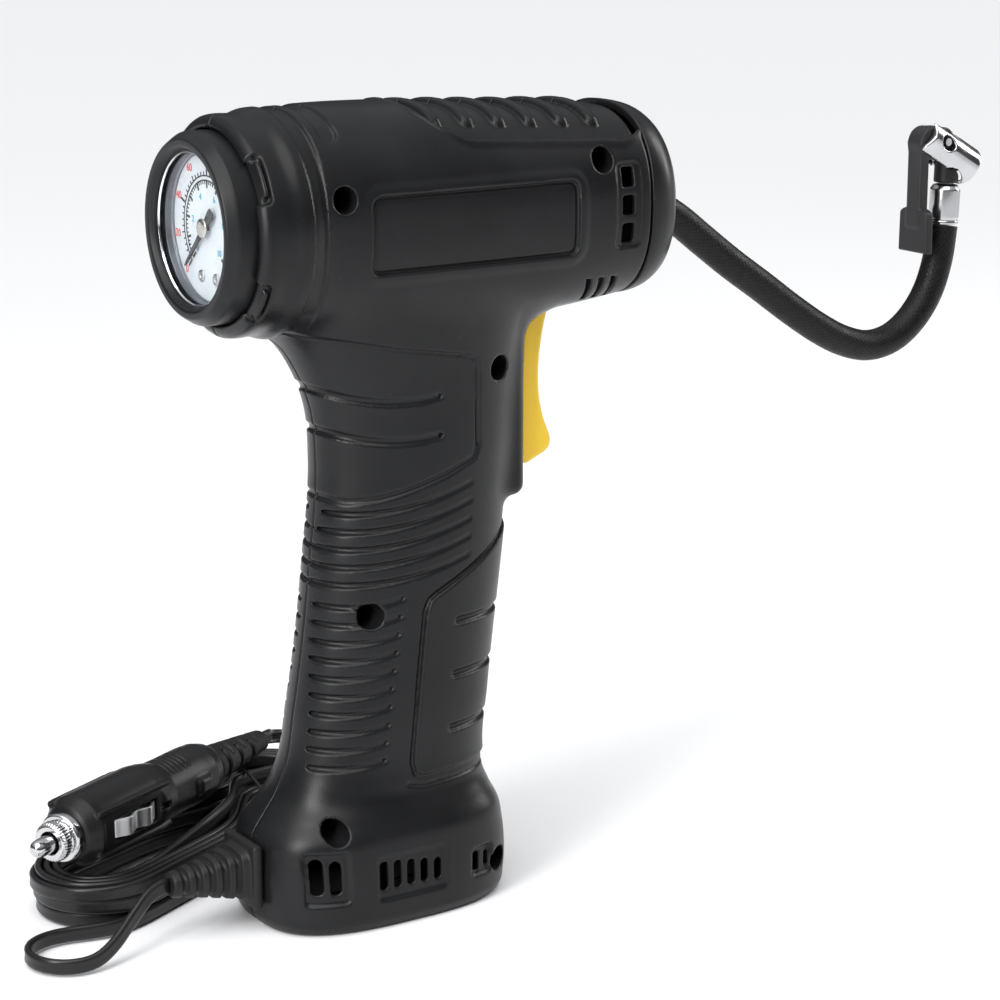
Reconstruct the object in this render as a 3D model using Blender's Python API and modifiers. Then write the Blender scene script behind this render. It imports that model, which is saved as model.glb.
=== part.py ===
"""Handheld 12 V air compressor (pistol-shaped inflator), an assembly of separate pieces.

Frame: metres, +Z up, standing on its base at z = 0. The gauge faces -X, the hose leaves
towards +X, and the two case halves meet in the plane y = 0. The origin is the middle of
the pump's own box (the free cord and its plug left out), on the surface it stands on.
"""
import math

import bmesh
import bpy
import numpy as np
from mathutils import Matrix, Vector

MM = 0.001
GAP = 0.3 * MM                  # clearance between pieces that touch
HALF_GAP = 0.15 * MM            # each case half stays this far from y = 0

# Case
WALL = 2.4 * MM
FRONT_X = -72.0 * MM            # rim of the gauge bezel
SEAM_X = 58.8 * MM              # joint between the case halves and the rear cap
GAUGE_Z = 195.6 * MM            # axis of the gauge and of the head's front

# Gauge
BEZEL_R = 25.5 * MM

# Drive
MOTOR_X = -14.0 * MM
MOTOR_R = 14.0 * MM
MOTOR_Z = (118.0 * MM, 168.0 * MM)
MODULE = 1.0 * MM
GEAR_TEETH = 40
PINION_TEETH = 10
GEAR_X = MOTOR_X + MODULE * (GEAR_TEETH + PINION_TEETH) / 2
GEAR_Z = (177.0 * MM, 183.0 * MM)
CRANK_R = 7.0 * MM              # half of the piston's stroke
ROD_LENGTH = 30.0 * MM          # crank pin to piston crown
CYLINDER_Z = 192.0 * MM         # also the height at which the hose leaves
CYLINDER_X = (33.0 * MM, 54.0 * MM)

# Trigger, which moves back 5 mm
TRIGGER_HALF_WIDTH = 7.0 * MM
TRIGGER_Z = (121.0 * MM, 168.0 * MM)
BACK_X = 25.5 * MM              # back of the trigger's wall

# Air hose, 9.6 mm over its braid
HOSE_R = 4.8 * MM
HOSE_ROUTE_MM = ((72.4, 0, 192.0), (76.0, 0, 191.8), (81.5, 0, 189.3), (88.0, 0, 185.3),
                 (96.0, 0, 179.3), (107.0, 0, 171.2), (118.5, 0, 163.4), (130.0, 0, 155.4),
                 (141.0, 0, 148.4), (151.0, 0, 143.4), (161.0, 0, 140.9), (170.5, 0, 142.4),
                 (178.5, 0, 147.6), (184.6, 0, 155.4), (188.2, 0, 165.0), (189.9, 0, 175.9))

# Supply cord, a flat twin lead 4.4 mm wide
CORD_R = 2.2 * MM
LEAD_ROUTE_MM = ((-82.4, 0, 16.0), (-84.5, 0, 16.0), (-89.0, -0.6, 14.6), (-95.0, -2.5, 10.6),
                 (-102.0, -5.0, 6.0), (-109.0, -5.6, 3.1), (-115.0, -2.4, 2.4), (-118.8, 5.0, 2.4),
                 (-118.0, 13.0, 2.6), (-113.4, 19.2, 3.6), (-107.6, 22.9, 5.2))
HANK_CENTRE = Vector((-46.0, 54.5, 0.0)) * MM
HANK_DIR = Vector((0.891, 0.454, 0.0)).normalized()
HANK_LENGTH = 134.0 * MM
HANK_WIDTH = 42.0 * MM
HANK_HEIGHT = 15.0 * MM

# Plug for a 12 V socket, lying on the hank with its nose past the hank's near end
PLUG_R = 10.4 * MM
PLUG_TIP = HANK_CENTRE - HANK_DIR * (75.0 * MM) + Vector((0, 0, HANK_HEIGHT + 0.3 * MM + PLUG_R))

# Chuck on the hose's end
FERRULE_BASE = Vector((190.0, 0, 176.2)) * MM
FERRULE_DIR = Vector((0.04, 0, 1)).normalized()
CHUCK_CENTRE = Vector((190.2, 0, 198.2)) * MM
CHUCK_DIR = Vector((0.87, 0, -0.493)).normalized()
LEVER_PIVOT = Vector((186.2, 0, 202.4)) * MM

PART_NAME = "handheld_air_compressor"


# ---------------------------------------------------------------- scene and materials

def clear_scene():
    for obj in list(bpy.data.objects):
        bpy.data.objects.remove(obj, do_unlink=True)


def new_collection(name):
    collection = bpy.data.collections.new(name)
    bpy.context.scene.collection.children.link(collection)
    return collection


def material(name, colour, roughness, metallic=0.0):
    mat = bpy.data.materials.new(name)
    mat.use_nodes = True
    shader = mat.node_tree.nodes["Principled BSDF"]
    shader.inputs["Base Color"].default_value = (*colour, 1.0)
    shader.inputs["Roughness"].default_value = roughness
    shader.inputs["Metallic"].default_value = metallic
    return mat


FINISHES = {
    "black": ((0.022, 0.023, 0.026), 0.42, 0.0),
    "soft_black": ((0.012, 0.012, 0.013), 0.62, 0.0),
    "yellow": ((0.72, 0.47, 0.03), 0.38, 0.0),
    "white": ((0.86, 0.88, 0.9), 0.5, 0.0),
    "clear": ((0.85, 0.9, 0.92), 0.05, 0.0),
    "chrome": ((0.8, 0.8, 0.82), 0.16, 1.0),
    "steel": ((0.5, 0.5, 0.52), 0.35, 1.0),
    "alloy": ((0.62, 0.63, 0.65), 0.42, 1.0),
    "brass": ((0.72, 0.52, 0.2), 0.3, 1.0),
    "nylon": ((0.8, 0.78, 0.7), 0.5, 0.0),
    "red": ((0.5, 0.02, 0.02), 0.45, 0.0),
    "ferrite": ((0.07, 0.07, 0.075), 0.7, 0.0),
}


def finish(obj, look):
    colour, roughness, metallic = FINISHES[look]
    obj.data.materials.clear()
    obj.data.materials.append(material(obj.name + "_mat", colour, roughness, metallic))
    return obj


# ---------------------------------------------------------------- building blocks

def add_object(name, data):
    obj = bpy.data.objects.new(name, data)
    PARTS.objects.link(obj)
    return obj


def cutter(obj):
    """Moves a shape to the cutters, where it only serves Booleans."""
    PARTS.objects.unlink(obj)
    CUTTERS.objects.link(obj)
    obj.hide_render = True
    obj.display_type = "WIRE"
    return obj


def mesh_object(name, bm, smooth=True):
    bmesh.ops.recalc_face_normals(bm, faces=bm.faces)
    mesh = bpy.data.meshes.new(name)
    bm.to_mesh(mesh)
    bm.free()
    if smooth:
        mesh.shade_smooth()
        mesh.set_sharp_from_angle(angle=math.radians(35))
    return add_object(name, mesh)


def frame_along(direction, at):
    """Matrix whose local Z runs along direction, placed at a point."""
    turn = Vector(direction).to_track_quat("Z", "Y").to_matrix().to_4x4()
    return Matrix.Translation(at) @ turn


def box(name, low, high):
    bm = bmesh.new()
    bmesh.ops.create_cube(bm, size=1.0)
    size = Vector(high) - Vector(low)
    bmesh.ops.scale(bm, vec=size, verts=bm.verts)
    bmesh.ops.translate(bm, vec=(Vector(low) + Vector(high)) / 2, verts=bm.verts)
    return mesh_object(name, bm, smooth=False)


def rod(name, start, end, radius, segments=16):
    """Solid cylinder between two points."""
    start, end = Vector(start), Vector(end)
    bm = bmesh.new()
    bmesh.ops.create_cone(bm, cap_ends=True, segments=segments, radius1=radius,
                          radius2=radius, depth=(end - start).length,
                          matrix=frame_along(end - start, (start + end) / 2))
    return mesh_object(name, bm)


def turned(name, profile_mm, at, direction, segments=24):
    """Turned solid: (radius, height) pairs in mm, read down the outer side, closed on itself."""
    bm = bmesh.new()
    verts = [bm.verts.new((r * MM, 0, h * MM)) for r, h in profile_mm]
    closed = all(r > 0 for r, h in profile_mm)
    pairs = list(zip(verts, verts[1:])) + ([(verts[-1], verts[0])] if closed else [])
    for a, b in pairs:
        bm.edges.new((a, b))
    mesh = bpy.data.meshes.new(name)
    bm.to_mesh(mesh)
    bm.free()
    obj = add_object(name, mesh)
    screw = obj.modifiers.new("turn", "SCREW")
    screw.steps = screw.render_steps = segments
    screw.use_merge_vertices = True
    screw.merge_threshold = 0.00001
    obj.matrix_world = frame_along(direction, at)
    return obj


def flat_outline(name, points, thickness, matrix):
    """Flat plate from a 2D outline, thickness centred on its plane."""
    curve = bpy.data.curves.new(name, "CURVE")
    curve.dimensions = "2D"
    curve.fill_mode = "BOTH"
    curve.extrude = thickness / 2
    spline = curve.splines.new("POLY")
    spline.points.add(len(points) - 1)
    for point, (u, v) in zip(spline.points, points):
        point.co = (u, v, 0, 1)
    spline.use_cyclic_u = True
    obj = add_object(name, curve)
    obj.matrix_world = matrix
    return as_mesh(obj)


def as_mesh(obj):
    """Turns a curve object into a mesh object with welded caps."""
    depsgraph = bpy.context.evaluated_depsgraph_get()
    mesh = bpy.data.meshes.new_from_object(obj.evaluated_get(depsgraph))
    name, matrix = obj.name, obj.matrix_world.copy()
    bpy.data.objects.remove(obj, do_unlink=True)
    bm = bmesh.new()
    bm.from_mesh(mesh)
    bmesh.ops.remove_doubles(bm, verts=bm.verts, dist=0.000005)
    bmesh.ops.recalc_face_normals(bm, faces=bm.faces)
    bm.to_mesh(mesh)
    bm.free()
    new = add_object(name, mesh)
    new.matrix_world = matrix
    return new


def smooth_path(route, spacing):
    """Points a set distance apart on a Catmull-Rom curve through the route."""
    pts = [np.array(p, float) for p in route]
    pts = [2 * pts[0] - pts[1]] + pts + [2 * pts[-1] - pts[-2]]
    fine = []
    for a, b, c, d in zip(pts, pts[1:], pts[2:], pts[3:]):
        for t in np.linspace(0, 1, 24, endpoint=False):
            fine.append(0.5 * (2 * b + (c - a) * t + (2 * a - 5 * b + 4 * c - d) * t ** 2
                               + (3 * b - a - 3 * c + d) * t ** 3))
    fine.append(pts[-2])
    fine = np.array(fine)
    run = np.concatenate([[0], np.cumsum(np.linalg.norm(np.diff(fine, axis=0), axis=1))])
    stations = np.linspace(0, run[-1], max(2, int(round(run[-1] / spacing))) + 1)
    return np.stack([np.interp(stations, run, fine[:, k]) for k in range(3)], axis=1)


def tube(name, points, radius, resolution=2):
    """Round tube along points, as a bevelled curve with filled caps."""
    curve = bpy.data.curves.new(name, "CURVE")
    curve.dimensions = "3D"
    curve.bevel_depth = radius
    curve.bevel_resolution = resolution
    curve.use_fill_caps = True
    spline = curve.splines.new("POLY")
    spline.points.add(len(points) - 1)
    for point, co in zip(spline.points, points):
        point.co = (*co, 1)
    return as_mesh(add_object(name, curve))


def coil_points(centre, direction, radius, length, turns, per_turn=10):
    """Points along a coil spring's wire."""
    place = frame_along(direction, centre)
    count = int(turns * per_turn)
    points = []
    for i in range(count + 1):
        angle = 2 * math.pi * i / per_turn
        local = Vector((radius * math.cos(angle), radius * math.sin(angle), length * i / count))
        points.append(place @ local)
    return points


def boolean(obj, other, operation):
    mod = obj.modifiers.new(operation.lower(), "BOOLEAN")
    mod.operation = operation
    mod.solver = "EXACT"
    mod.object = other
    return obj


def cut(obj, *tools):
    for tool in tools:
        boolean(obj, tool, "DIFFERENCE")
    return obj


def join(obj, *others):
    for other in others:
        boolean(obj, cutter(other), "UNION")
    return obj


def superellipse(centre, half, power, count, normal_axis):
    """Closed outline round centre in the plane normal to an axis."""
    points = []
    for i in range(count):
        angle = 2 * math.pi * (i + 0.5) / count
        c, s = math.cos(angle), math.sin(angle)
        u = half[0] * math.copysign(abs(c) ** (2 / power), c)
        v = half[1] * math.copysign(abs(s) ** (2 / power), s)
        offset = Vector((0, u, v)) if normal_axis == "X" else Vector((u, v, 0))
        points.append(Vector(centre) + offset)
    return points


def loft(name, rings):
    """Closed solid through rings that have the same number of points."""
    bm = bmesh.new()
    loops = [[bm.verts.new(p) for p in ring] for ring in rings]
    count = len(loops[0])
    for lower, upper in zip(loops, loops[1:]):
        for i in range(count):
            j = (i + 1) % count
            bm.faces.new((lower[i], lower[j], upper[j], upper[i]))
    bm.faces.new(loops[0])
    bm.faces.new(loops[-1])
    return mesh_object(name, bm)


# ---------------------------------------------------------------- case

# x, centre height, half width, half height, roundness power
HEAD_SECTIONS_MM = (
    (-65.2, 195.6, 27.9, 27.9, 2.0), (-63.5, 195.6, 28.9, 28.9, 2.0),
    (-55.0, 195.6, 29.6, 29.6, 2.0), (-52.5, 195.6, 30.4, 30.4, 2.0),
    (-46.0, 195.6, 30.2, 30.6, 2.1), (-41.0, 195.5, 28.6, 30.7, 2.3),
    (-8.0, 195.2, 28.6, 30.6, 2.4), (28.0, 194.2, 28.2, 29.9, 2.4),
    (58.5, 193.2, 27.2, 28.9, 2.4))
# z, centre, half depth, half width, roundness power
GRIP_SECTIONS_MM = (
    (0.0, -18.5, 35.5, 22.5, 2.9), (3.5, -18.5, 38.5, 25.5, 2.9),
    (20.0, -18.5, 38.5, 25.5, 2.8), (28.0, -18.1, 36.8, 24.3, 2.6),
    (34.0, -17.0, 33.4, 22.0, 2.4), (41.0, -15.6, 30.8, 20.4, 2.3),
    (60.0, -12.6, 29.8, 19.6, 2.25), (100.0, -7.2, 29.6, 19.4, 2.2),
    (128.0, -4.4, 30.0, 19.4, 2.2), (146.0, -4.6, 32.2, 19.6, 2.2),
    (158.0, -6.5, 36.0, 20.5, 2.2), (168.0, -9.0, 41.0, 22.0, 2.2),
    (178.0, -11.0, 43.0, 23.0, 2.2))
# x, z and reach: how far out each boss runs, to end inside the case wall
SCREW_PLACES_MM = ((-39.6, 204.0, 26.7), (42.7, 208.7, 24.0), (14.8, 152.5, 15.4),
                   (-26.5, 87.5, 15.2), (-41.0, 29.0, 18.8), (11.8, 10.8, 18.8))


# slots of the base: x, lowest and highest z, width
BASE_SLOTS_MM = ((-47.0, 12.0, 22.2, 3.4), (-42.2, 11.8, 21.4, 3.2), (-28.3, 11.1, 19.4, 2.5),
                 (-24.0, 11.1, 19.1, 2.5), (-19.7, 11.1, 18.5, 2.5), (-15.4, 11.0, 17.9, 2.4),
                 (-11.0, 10.9, 17.2, 2.3), (2.6, 9.9, 15.7, 2.0), (6.6, 10.3, 14.9, 1.6))


def head_rings(shrink, count, sections):
    return [superellipse((x * MM, 0, cz * MM), (w * MM - shrink, h * MM - shrink), p, count, "X")
            for x, cz, w, h, p in sections]


def grip_rings(shrink, count):
    return [superellipse((cx * MM, 0, z * MM), (d * MM - shrink, w * MM - shrink), p, count, "Z")
            for z, cx, d, w, p in GRIP_SECTIONS_MM]


def inner_head(name, count=24):
    """The head's hollow, open towards the rear cap."""
    sections = [s for s in HEAD_SECTIONS_MM if s[0] > -45]
    first = list(sections[0])
    first[0] = -43.5
    last = list(sections[-1])
    last[0] = 60.0
    return cutter(loft(name, head_rings(WALL, count, [first] + sections + [last])))


def inner_grip(name, count=20):
    """The grip's hollow, from above the floor of the base up into the head."""
    rings = grip_rings(WALL, count)[1:]
    floor_z = 2.6 * MM
    first = [Vector((p.x, p.y, floor_z)) for p in rings[0]]
    return cutter(loft(name, [first] + rings[1:]))


def case_cutters():
    """Everything that is cut out of the two case halves."""
    cuts = [inner_head("cut_head_hollow"), inner_grip("cut_grip_hollow")]
    seat = rod("cut_gauge_seat", (-70 * MM, 0, GAUGE_Z), (-43.0 * MM, 0, GAUGE_Z),
               BEZEL_R + GAP, segments=32)
    gland = box("cut_gland", (-62 * MM, -6.3 * MM, 9.7 * MM), (-50 * MM, 6.3 * MM, 22.3 * MM))
    slot = box("cut_trigger_slot",
               (12 * MM, -TRIGGER_HALF_WIDTH - GAP, TRIGGER_Z[0] - GAP),
               (45 * MM, TRIGGER_HALF_WIDTH + GAP, TRIGGER_Z[1] + GAP))
    cuts += [cutter(seat), cutter(gland), cutter(slot)]
    for side in (-1, 1):
        cuts += side_vents(side)
    return cuts


def side_vents(side):
    """Cooling slots on one side: three in the head, nine round the base."""
    vents = []
    for k in range(3):
        z = (203.5 - 7.7 * k) * MM
        vents.append(vent(side, 50.9 * MM, z, 3.6 * MM, 5.2 * MM))
    for x, low, high, width in BASE_SLOTS_MM:
        vents.append(vent(side, x * MM, (low + high) / 2 * MM, width * MM, (high - low) * MM))
    return vents


def vent(side, x, z, width, height):
    y = sorted((side * 12 * MM, side * 34 * MM))
    return cutter(box("cut_vent", (x - width / 2, y[0], z - height / 2),
                      (x + width / 2, y[1], z + height / 2)))


def case_half(name, side, cuts):
    """One half of the case, with its screw bosses."""
    half = loft(name, head_rings(0, 28, HEAD_SECTIONS_MM))
    grip = loft(name + "_grip", grip_rings(0, 24))
    guard = box(name + "_guard", (10 * MM, -11.5 * MM, 117.0 * MM), (27.0 * MM, 11.5 * MM, 172 * MM))
    join(half, grip, guard)
    cut(half, *cuts)
    for x, z, reach in SCREW_PLACES_MM:
        outer = rod(name + "_boss", (x * MM, side * 0.1 * MM, z * MM),
                    (x * MM, side * reach * MM, z * MM), 3.9 * MM, segments=10)
        join(half, outer)
        if side < 0:
            pocket = rod("cut_pocket", (x * MM, -4.0 * MM, z * MM), (x * MM, -40 * MM, z * MM),
                         2.9 * MM, segments=10)
            hole = rod("cut_hole", (x * MM, 2 * MM, z * MM), (x * MM, -6 * MM, z * MM),
                       1.7 * MM, segments=8)
            cut(half, cutter(pocket), cutter(hole))
        else:
            pilot = rod("cut_pilot", (x * MM, -1 * MM, z * MM), (x * MM, 11 * MM, z * MM),
                        1.7 * MM, segments=8)
            cut(half, cutter(pilot))
    y = sorted((side * HALF_GAP, side * 60 * MM))
    keep = box("keep_" + name, (-100 * MM, y[0], -10 * MM), (SEAM_X - GAP, y[1], 260 * MM))
    boolean(half, cutter(keep), "INTERSECT")
    return finish(half, "black")


def case_screw(index):
    x, z, _ = SCREW_PLACES_MM[index]
    screw = turned(f"case_screw_{index + 1}",
                   ((0, 2.4), (1.9, 2.2), (2.6, 1.2), (2.6, 0.0), (1.4, -0.4), (1.4, -11.5),
                    (0, -12.5)),
                   (x * MM, -4.35 * MM, z * MM), (0, -1, 0), segments=10)
    return finish(screw, "steel")


def rear_cap():
    sections = ((58.9, 193.2, 27.2, 28.9, 2.4), (63.0, 193.1, 26.6, 28.2, 2.4),
                (67.5, 192.9, 24.6, 26.2, 2.3), (70.6, 192.7, 21.4, 23.0, 2.25),
                (72.0, 192.6, 18.0, 19.6, 2.2))
    cap = loft("rear_cap", head_rings(0, 28, sections))
    inside = ((50.0, 193.2, 24.8, 26.5, 2.4), (62.0, 193.1, 24.4, 26.0, 2.4),
              (67.0, 192.9, 21.6, 23.2, 2.3), (69.6, 192.7, 18.0, 19.6, 2.2))
    hollow = cutter(loft("cut_cap_hollow", head_rings(0, 24, inside)))
    hole = cutter(rod("cut_hose_hole", (60 * MM, 0, CYLINDER_Z), (80 * MM, 0, CYLINDER_Z),
                      HOSE_R + GAP, segments=16))
    cut(cap, hollow, hole)
    return finish(cap, "black")


# ---------------------------------------------------------------- pressure gauge

def gauge():
    at = (FRONT_X, 0, GAUGE_Z)
    out = (-1, 0, 0)
    bezel = turned("gauge_bezel", (
        (21.0, -0.9), (21.8, -0.1), (23.2, 0.0), (25.0, -0.9), (25.5, -2.2), (25.5, -12.0),
        (24.0, -12.0), (24.0, -2.6), (20.2, -1.9)), at, out, 28)
    finish(bezel, "black")
    lens = turned("gauge_lens", ((0, -2.9), (23.4, -2.9), (23.4, -4.1), (0, -4.1)), at, out, 28)
    finish(lens, "clear")
    dial = turned("gauge_dial", ((0.9, -6.9), (22.6, -6.9), (22.6, -7.7), (0.9, -7.7)),
                  at, out, 28)
    finish(dial, "white")
    case = turned("gauge_case", (
        (23.4, -4.6), (23.4, -25.0), (21.0, -27.0), (3.0, -27.0), (3.0, -25.4), (20.6, -25.4),
        (22.0, -24.4), (22.0, -8.2), (22.9, -8.2), (22.9, -4.6)), at, out, 24)
    finish(case, "alloy")
    tube_route = [Vector((FRONT_X + 19 * MM, 14 * MM * math.cos(t), GAUGE_Z + 14 * MM * math.sin(t)))
                  for t in np.radians(np.linspace(-80, 190, 19))]
    finish(tube("bourdon_tube", tube_route, 1.6 * MM, 0), "brass")
    stem = turned("gauge_stem", (
        (0, -21.0), (2.7, -21.0), (2.7, -27.3), (4.2, -27.3), (4.2, -31.0), (3.0, -31.0),
        (3.0, -35.0), (0, -35.0)), at, out, 12)
    finish(stem, "brass")
    pointer()


def pointer():
    """Pointer and its spindle, origin on the gauge axis. It rests at its zero, lower left."""
    zero = math.radians(225)
    place = (Matrix.Translation((FRONT_X + 5.6 * MM, 0, GAUGE_Z))
             @ Matrix.Rotation(math.radians(-90), 4, "Y") @ Matrix.Rotation(math.radians(-90), 4, "Z"))
    half = 0.75 * MM
    outline = [(-6.2 * MM, -1.5 * MM), (-1.5 * MM, -half), (16.0 * MM, -0.2 * MM),
               (16.0 * MM, 0.2 * MM), (-1.5 * MM, half), (-6.2 * MM, 1.5 * MM)]
    needle = flat_outline("gauge_pointer", outline, 0.5 * MM,
                          place @ Matrix.Rotation(zero, 4, "Z"))
    hub = turned("pointer_hub_blank", ((0, 1.1), (1.4, 1.0), (2.4, 0.6), (2.4, -0.5), (0.6, -0.6),
                                       (0.6, -11.7), (0, -11.7)),
                 (FRONT_X + 5.6 * MM, 0, GAUGE_Z), (-1, 0, 0), 12)
    join(needle, hub)
    finish(needle, "soft_black")


# ---------------------------------------------------------------- trigger and switch

def trigger():
    """Trigger seen from the side (x, z), extruded to its width."""
    back = BACK_X / MM
    outline_mm = ((back, 167.6), (38.4, 167.6), (37.2, 162.0), (35.6, 155.0), (35.0, 147.0),
                  (35.6, 140.0), (37.2, 134.0), (39.4, 129.0), (39.6, 126.0), (38.4, 123.8),
                  (31.0, 121.4), (back, 121.4))
    place = Matrix.Rotation(math.radians(90), 4, "X")
    body = flat_outline("trigger", [(x * MM, z * MM) for x, z in outline_mm],
                        2 * TRIGGER_HALF_WIDTH, place)
    push = box("trigger_push", (20.6 * MM, -3 * MM, 131 * MM), (26.5 * MM, 3 * MM, 138 * MM))
    join(body, push)
    rim = body.modifiers.new("rounded", "BEVEL")
    rim.width = 0.8 * MM
    rim.segments = 1
    rim.limit_method = "ANGLE"
    rim.angle_limit = math.radians(50)
    finish(body, "yellow")


def switch():
    body = box("switch_body", (1.2 * MM, -6 * MM, 124 * MM), (13.6 * MM, 6 * MM, 146 * MM))
    bore = cutter(rod("cut_switch_bore", (4.0 * MM, 0, 134.5 * MM), (20 * MM, 0, 134.5 * MM),
                      2.6 * MM, segments=12))
    cut(body, bore)
    finish(body, "soft_black")
    plunger = rod("switch_plunger", (11.0 * MM, 0, 134.5 * MM), (20.3 * MM, 0, 134.5 * MM),
                  2.2 * MM, segments=12)
    finish(plunger, "nylon")
    spring = tube("trigger_spring",
                  coil_points((14.2 * MM, 0, 142.6 * MM), (1, 0, 0), 2.4 * MM, 10.7 * MM, 5, 8),
                  0.35 * MM, 0)
    finish(spring, "steel")


# ---------------------------------------------------------------- motor and gears

def motor():
    low, high = MOTOR_Z
    at = (MOTOR_X, 0, high)
    length = (high - low) / MM
    can = turned("motor_can", (
        (3.2, 0.0), (13.0, 0.0), (14.0, -1.0), (14.0, -length), (12.9, -length), (12.9, -1.4),
        (3.2, -1.4)), at, (0, 0, 1), 20)
    finish(can, "steel")
    cap = turned("motor_end_cap", (
        (1.5, 4.0), (12.5, 4.0), (12.5, 0.0), (13.9, 0.0), (13.9, -3.0), (5.0, -3.0), (5.0, -5.5),
        (1.5, -5.5)), (MOTOR_X, 0, low - GAP), (0, 0, 1), 20)
    finish(cap, "soft_black")
    rotor = turned("motor_rotor", (
        (0, 16.5), (1.2, 16.3), (1.2, -12.0), (9.2, -12.0), (9.2, -34.0), (4.0, -34.0),
        (4.0, -44.0), (1.2, -44.0), (1.2, -54.0), (0, -54.2)), at, (0, 0, 1), 16)
    finish(rotor, "steel")
    for side, name in ((1, "motor_magnet_left"), (-1, "motor_magnet_right")):
        magnet(name, side, (low + high) / 2 + 2 * MM)


def magnet(name, side, middle):
    """Curved ferrite magnet against the can's wall."""
    outline = []
    for radius, angles in ((12.6 * MM, (-62, -31, 0, 31, 62)), (9.9 * MM, (62, 31, 0, -31, -62))):
        for angle in np.radians(angles):
            outline.append((radius * math.sin(angle), side * radius * math.cos(angle)))
    piece = flat_outline(name, outline, 26 * MM, Matrix.Translation((MOTOR_X, 0, middle)))
    finish(piece, "ferrite")


def gear_outline(teeth):
    """Outline of a spur gear with play between its teeth, one tooth centred on +X."""
    pitch_r = MODULE * teeth / 2
    step = 2 * math.pi / teeth
    levels = ((-0.33, -1.2), (-0.09, 0.85), (0.09, 0.85), (0.33, -1.2))
    points = []
    for k in range(teeth):
        for fraction, height in levels:
            radius = pitch_r + height * MODULE
            angle = step * (k + fraction)
            points.append((radius * math.cos(angle), radius * math.sin(angle)))
    return points


def gears():
    low, high = GEAR_Z
    middle = (low + high) / 2
    half_step = math.pi / PINION_TEETH
    pinion = flat_outline("motor_pinion", gear_outline(PINION_TEETH), high - low + 1 * MM,
                          Matrix.Translation((MOTOR_X, 0, middle))
                          @ Matrix.Rotation(half_step, 4, "Z"))
    cut(pinion, cutter(rod("cut_pinion_bore", (MOTOR_X, 0, 160 * MM), (MOTOR_X, 0, 190 * MM),
                           1.5 * MM, segments=12)))
    finish(pinion, "brass")
    gear = flat_outline("drive_gear", gear_outline(GEAR_TEETH), high - low,
                        Matrix.Translation((GEAR_X, 0, middle)))
    cut(gear, cutter(rod("cut_gear_bore", (GEAR_X, 0, 165 * MM), (GEAR_X, 0, 190 * MM),
                         4.3 * MM, segments=16)),
        cutter(rod("cut_pin_seat", (GEAR_X + CRANK_R, 0, 170 * MM), (GEAR_X + CRANK_R, 0, 190 * MM),
                   1.8 * MM, segments=12)))
    finish(gear, "nylon")
    bush = turned("gear_bush", ((2.05, 3.4), (4.0, 3.4), (4.0, -3.0), (2.05, -3.0)),
                  (GEAR_X, 0, middle), (0, 0, 1), 16)
    finish(bush, "brass")
    axle = rod("gear_axle", (GEAR_X, 0, 169.2 * MM), (GEAR_X, 0, 184.6 * MM), 1.95 * MM, segments=16)
    finish(axle, "steel")
    crank = turned("crank_pin", ((0, 5.0), (1.2, 5.0), (1.5, 4.6), (1.5, -3.0), (0, -3.0)),
                   (GEAR_X + CRANK_R, 0, high - 1.0 * MM), (0, 0, 1), 12)
    finish(crank, "steel")


def drive_bracket():
    """Pressed plate that carries the motor, the gear's axle and the cylinder."""
    plate = box("drive_bracket", (-27 * MM, -11 * MM, 169.0 * MM), (42.5 * MM, 11 * MM, 171.4 * MM))
    upright = box("bracket_upright", (40.2 * MM, -8 * MM, 170 * MM), (42.5 * MM, 8 * MM, 178.6 * MM))
    join(plate, upright)
    cut(plate, cutter(rod("cut_shaft_hole", (MOTOR_X, 0, 160 * MM), (MOTOR_X, 0, 175 * MM), 4 * MM,
                          segments=16)),
        cutter(rod("cut_axle_hole", (GEAR_X, 0, 160 * MM), (GEAR_X, 0, 175 * MM), 2.25 * MM,
                   segments=16)))
    finish(plate, "steel")


# ---------------------------------------------------------------- piston and cylinder

def compressor():
    at = (CYLINDER_X[1], 0, CYLINDER_Z)
    along = (1, 0, 0)
    length = (CYLINDER_X[1] - CYLINDER_X[0]) / MM
    barrel = turned("cylinder", (
        (9.0, 0.0), (12.2, 0.0), (12.2, -4.0), (10.8, -4.0), (10.8, -7.0), (12.2, -7.0),
        (12.2, -10.0), (10.8, -10.0), (10.8, -length), (9.0, -length)), at, along, 24)
    finish(barrel, "alloy")
    head = turned("cylinder_head", (
        (1.6, 6.5), (8.0, 6.5), (12.2, 4.5), (12.2, 0.3), (1.6, 0.3)), at, along, 24)
    finish(head, "alloy")
    piston()
    valve = turned("outlet_valve", ((0, 2.0), (2.6, 2.0), (2.6, 0.0), (0, 0.0)),
                   (60.9 * MM, 0, CYLINDER_Z), along, 12)
    finish(valve, "soft_black")
    spring = tube("valve_spring", coil_points((63.3 * MM, 0, CYLINDER_Z), along, 2.0 * MM,
                                              2.1 * MM, 3, 8), 0.25 * MM, 0)
    finish(spring, "steel")
    barb = turned("hose_barb", (
        (1.4, 10.4), (2.6, 10.2), (3.0, 8.8), (2.4, 8.4), (2.4, 6.0), (4.4, 5.9), (4.4, 0.0),
        (3.4, 0.0), (3.4, 5.0), (1.4, 5.4)), (60.8 * MM, 0, CYLINDER_Z), along, 16)
    finish(barb, "brass")


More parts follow.
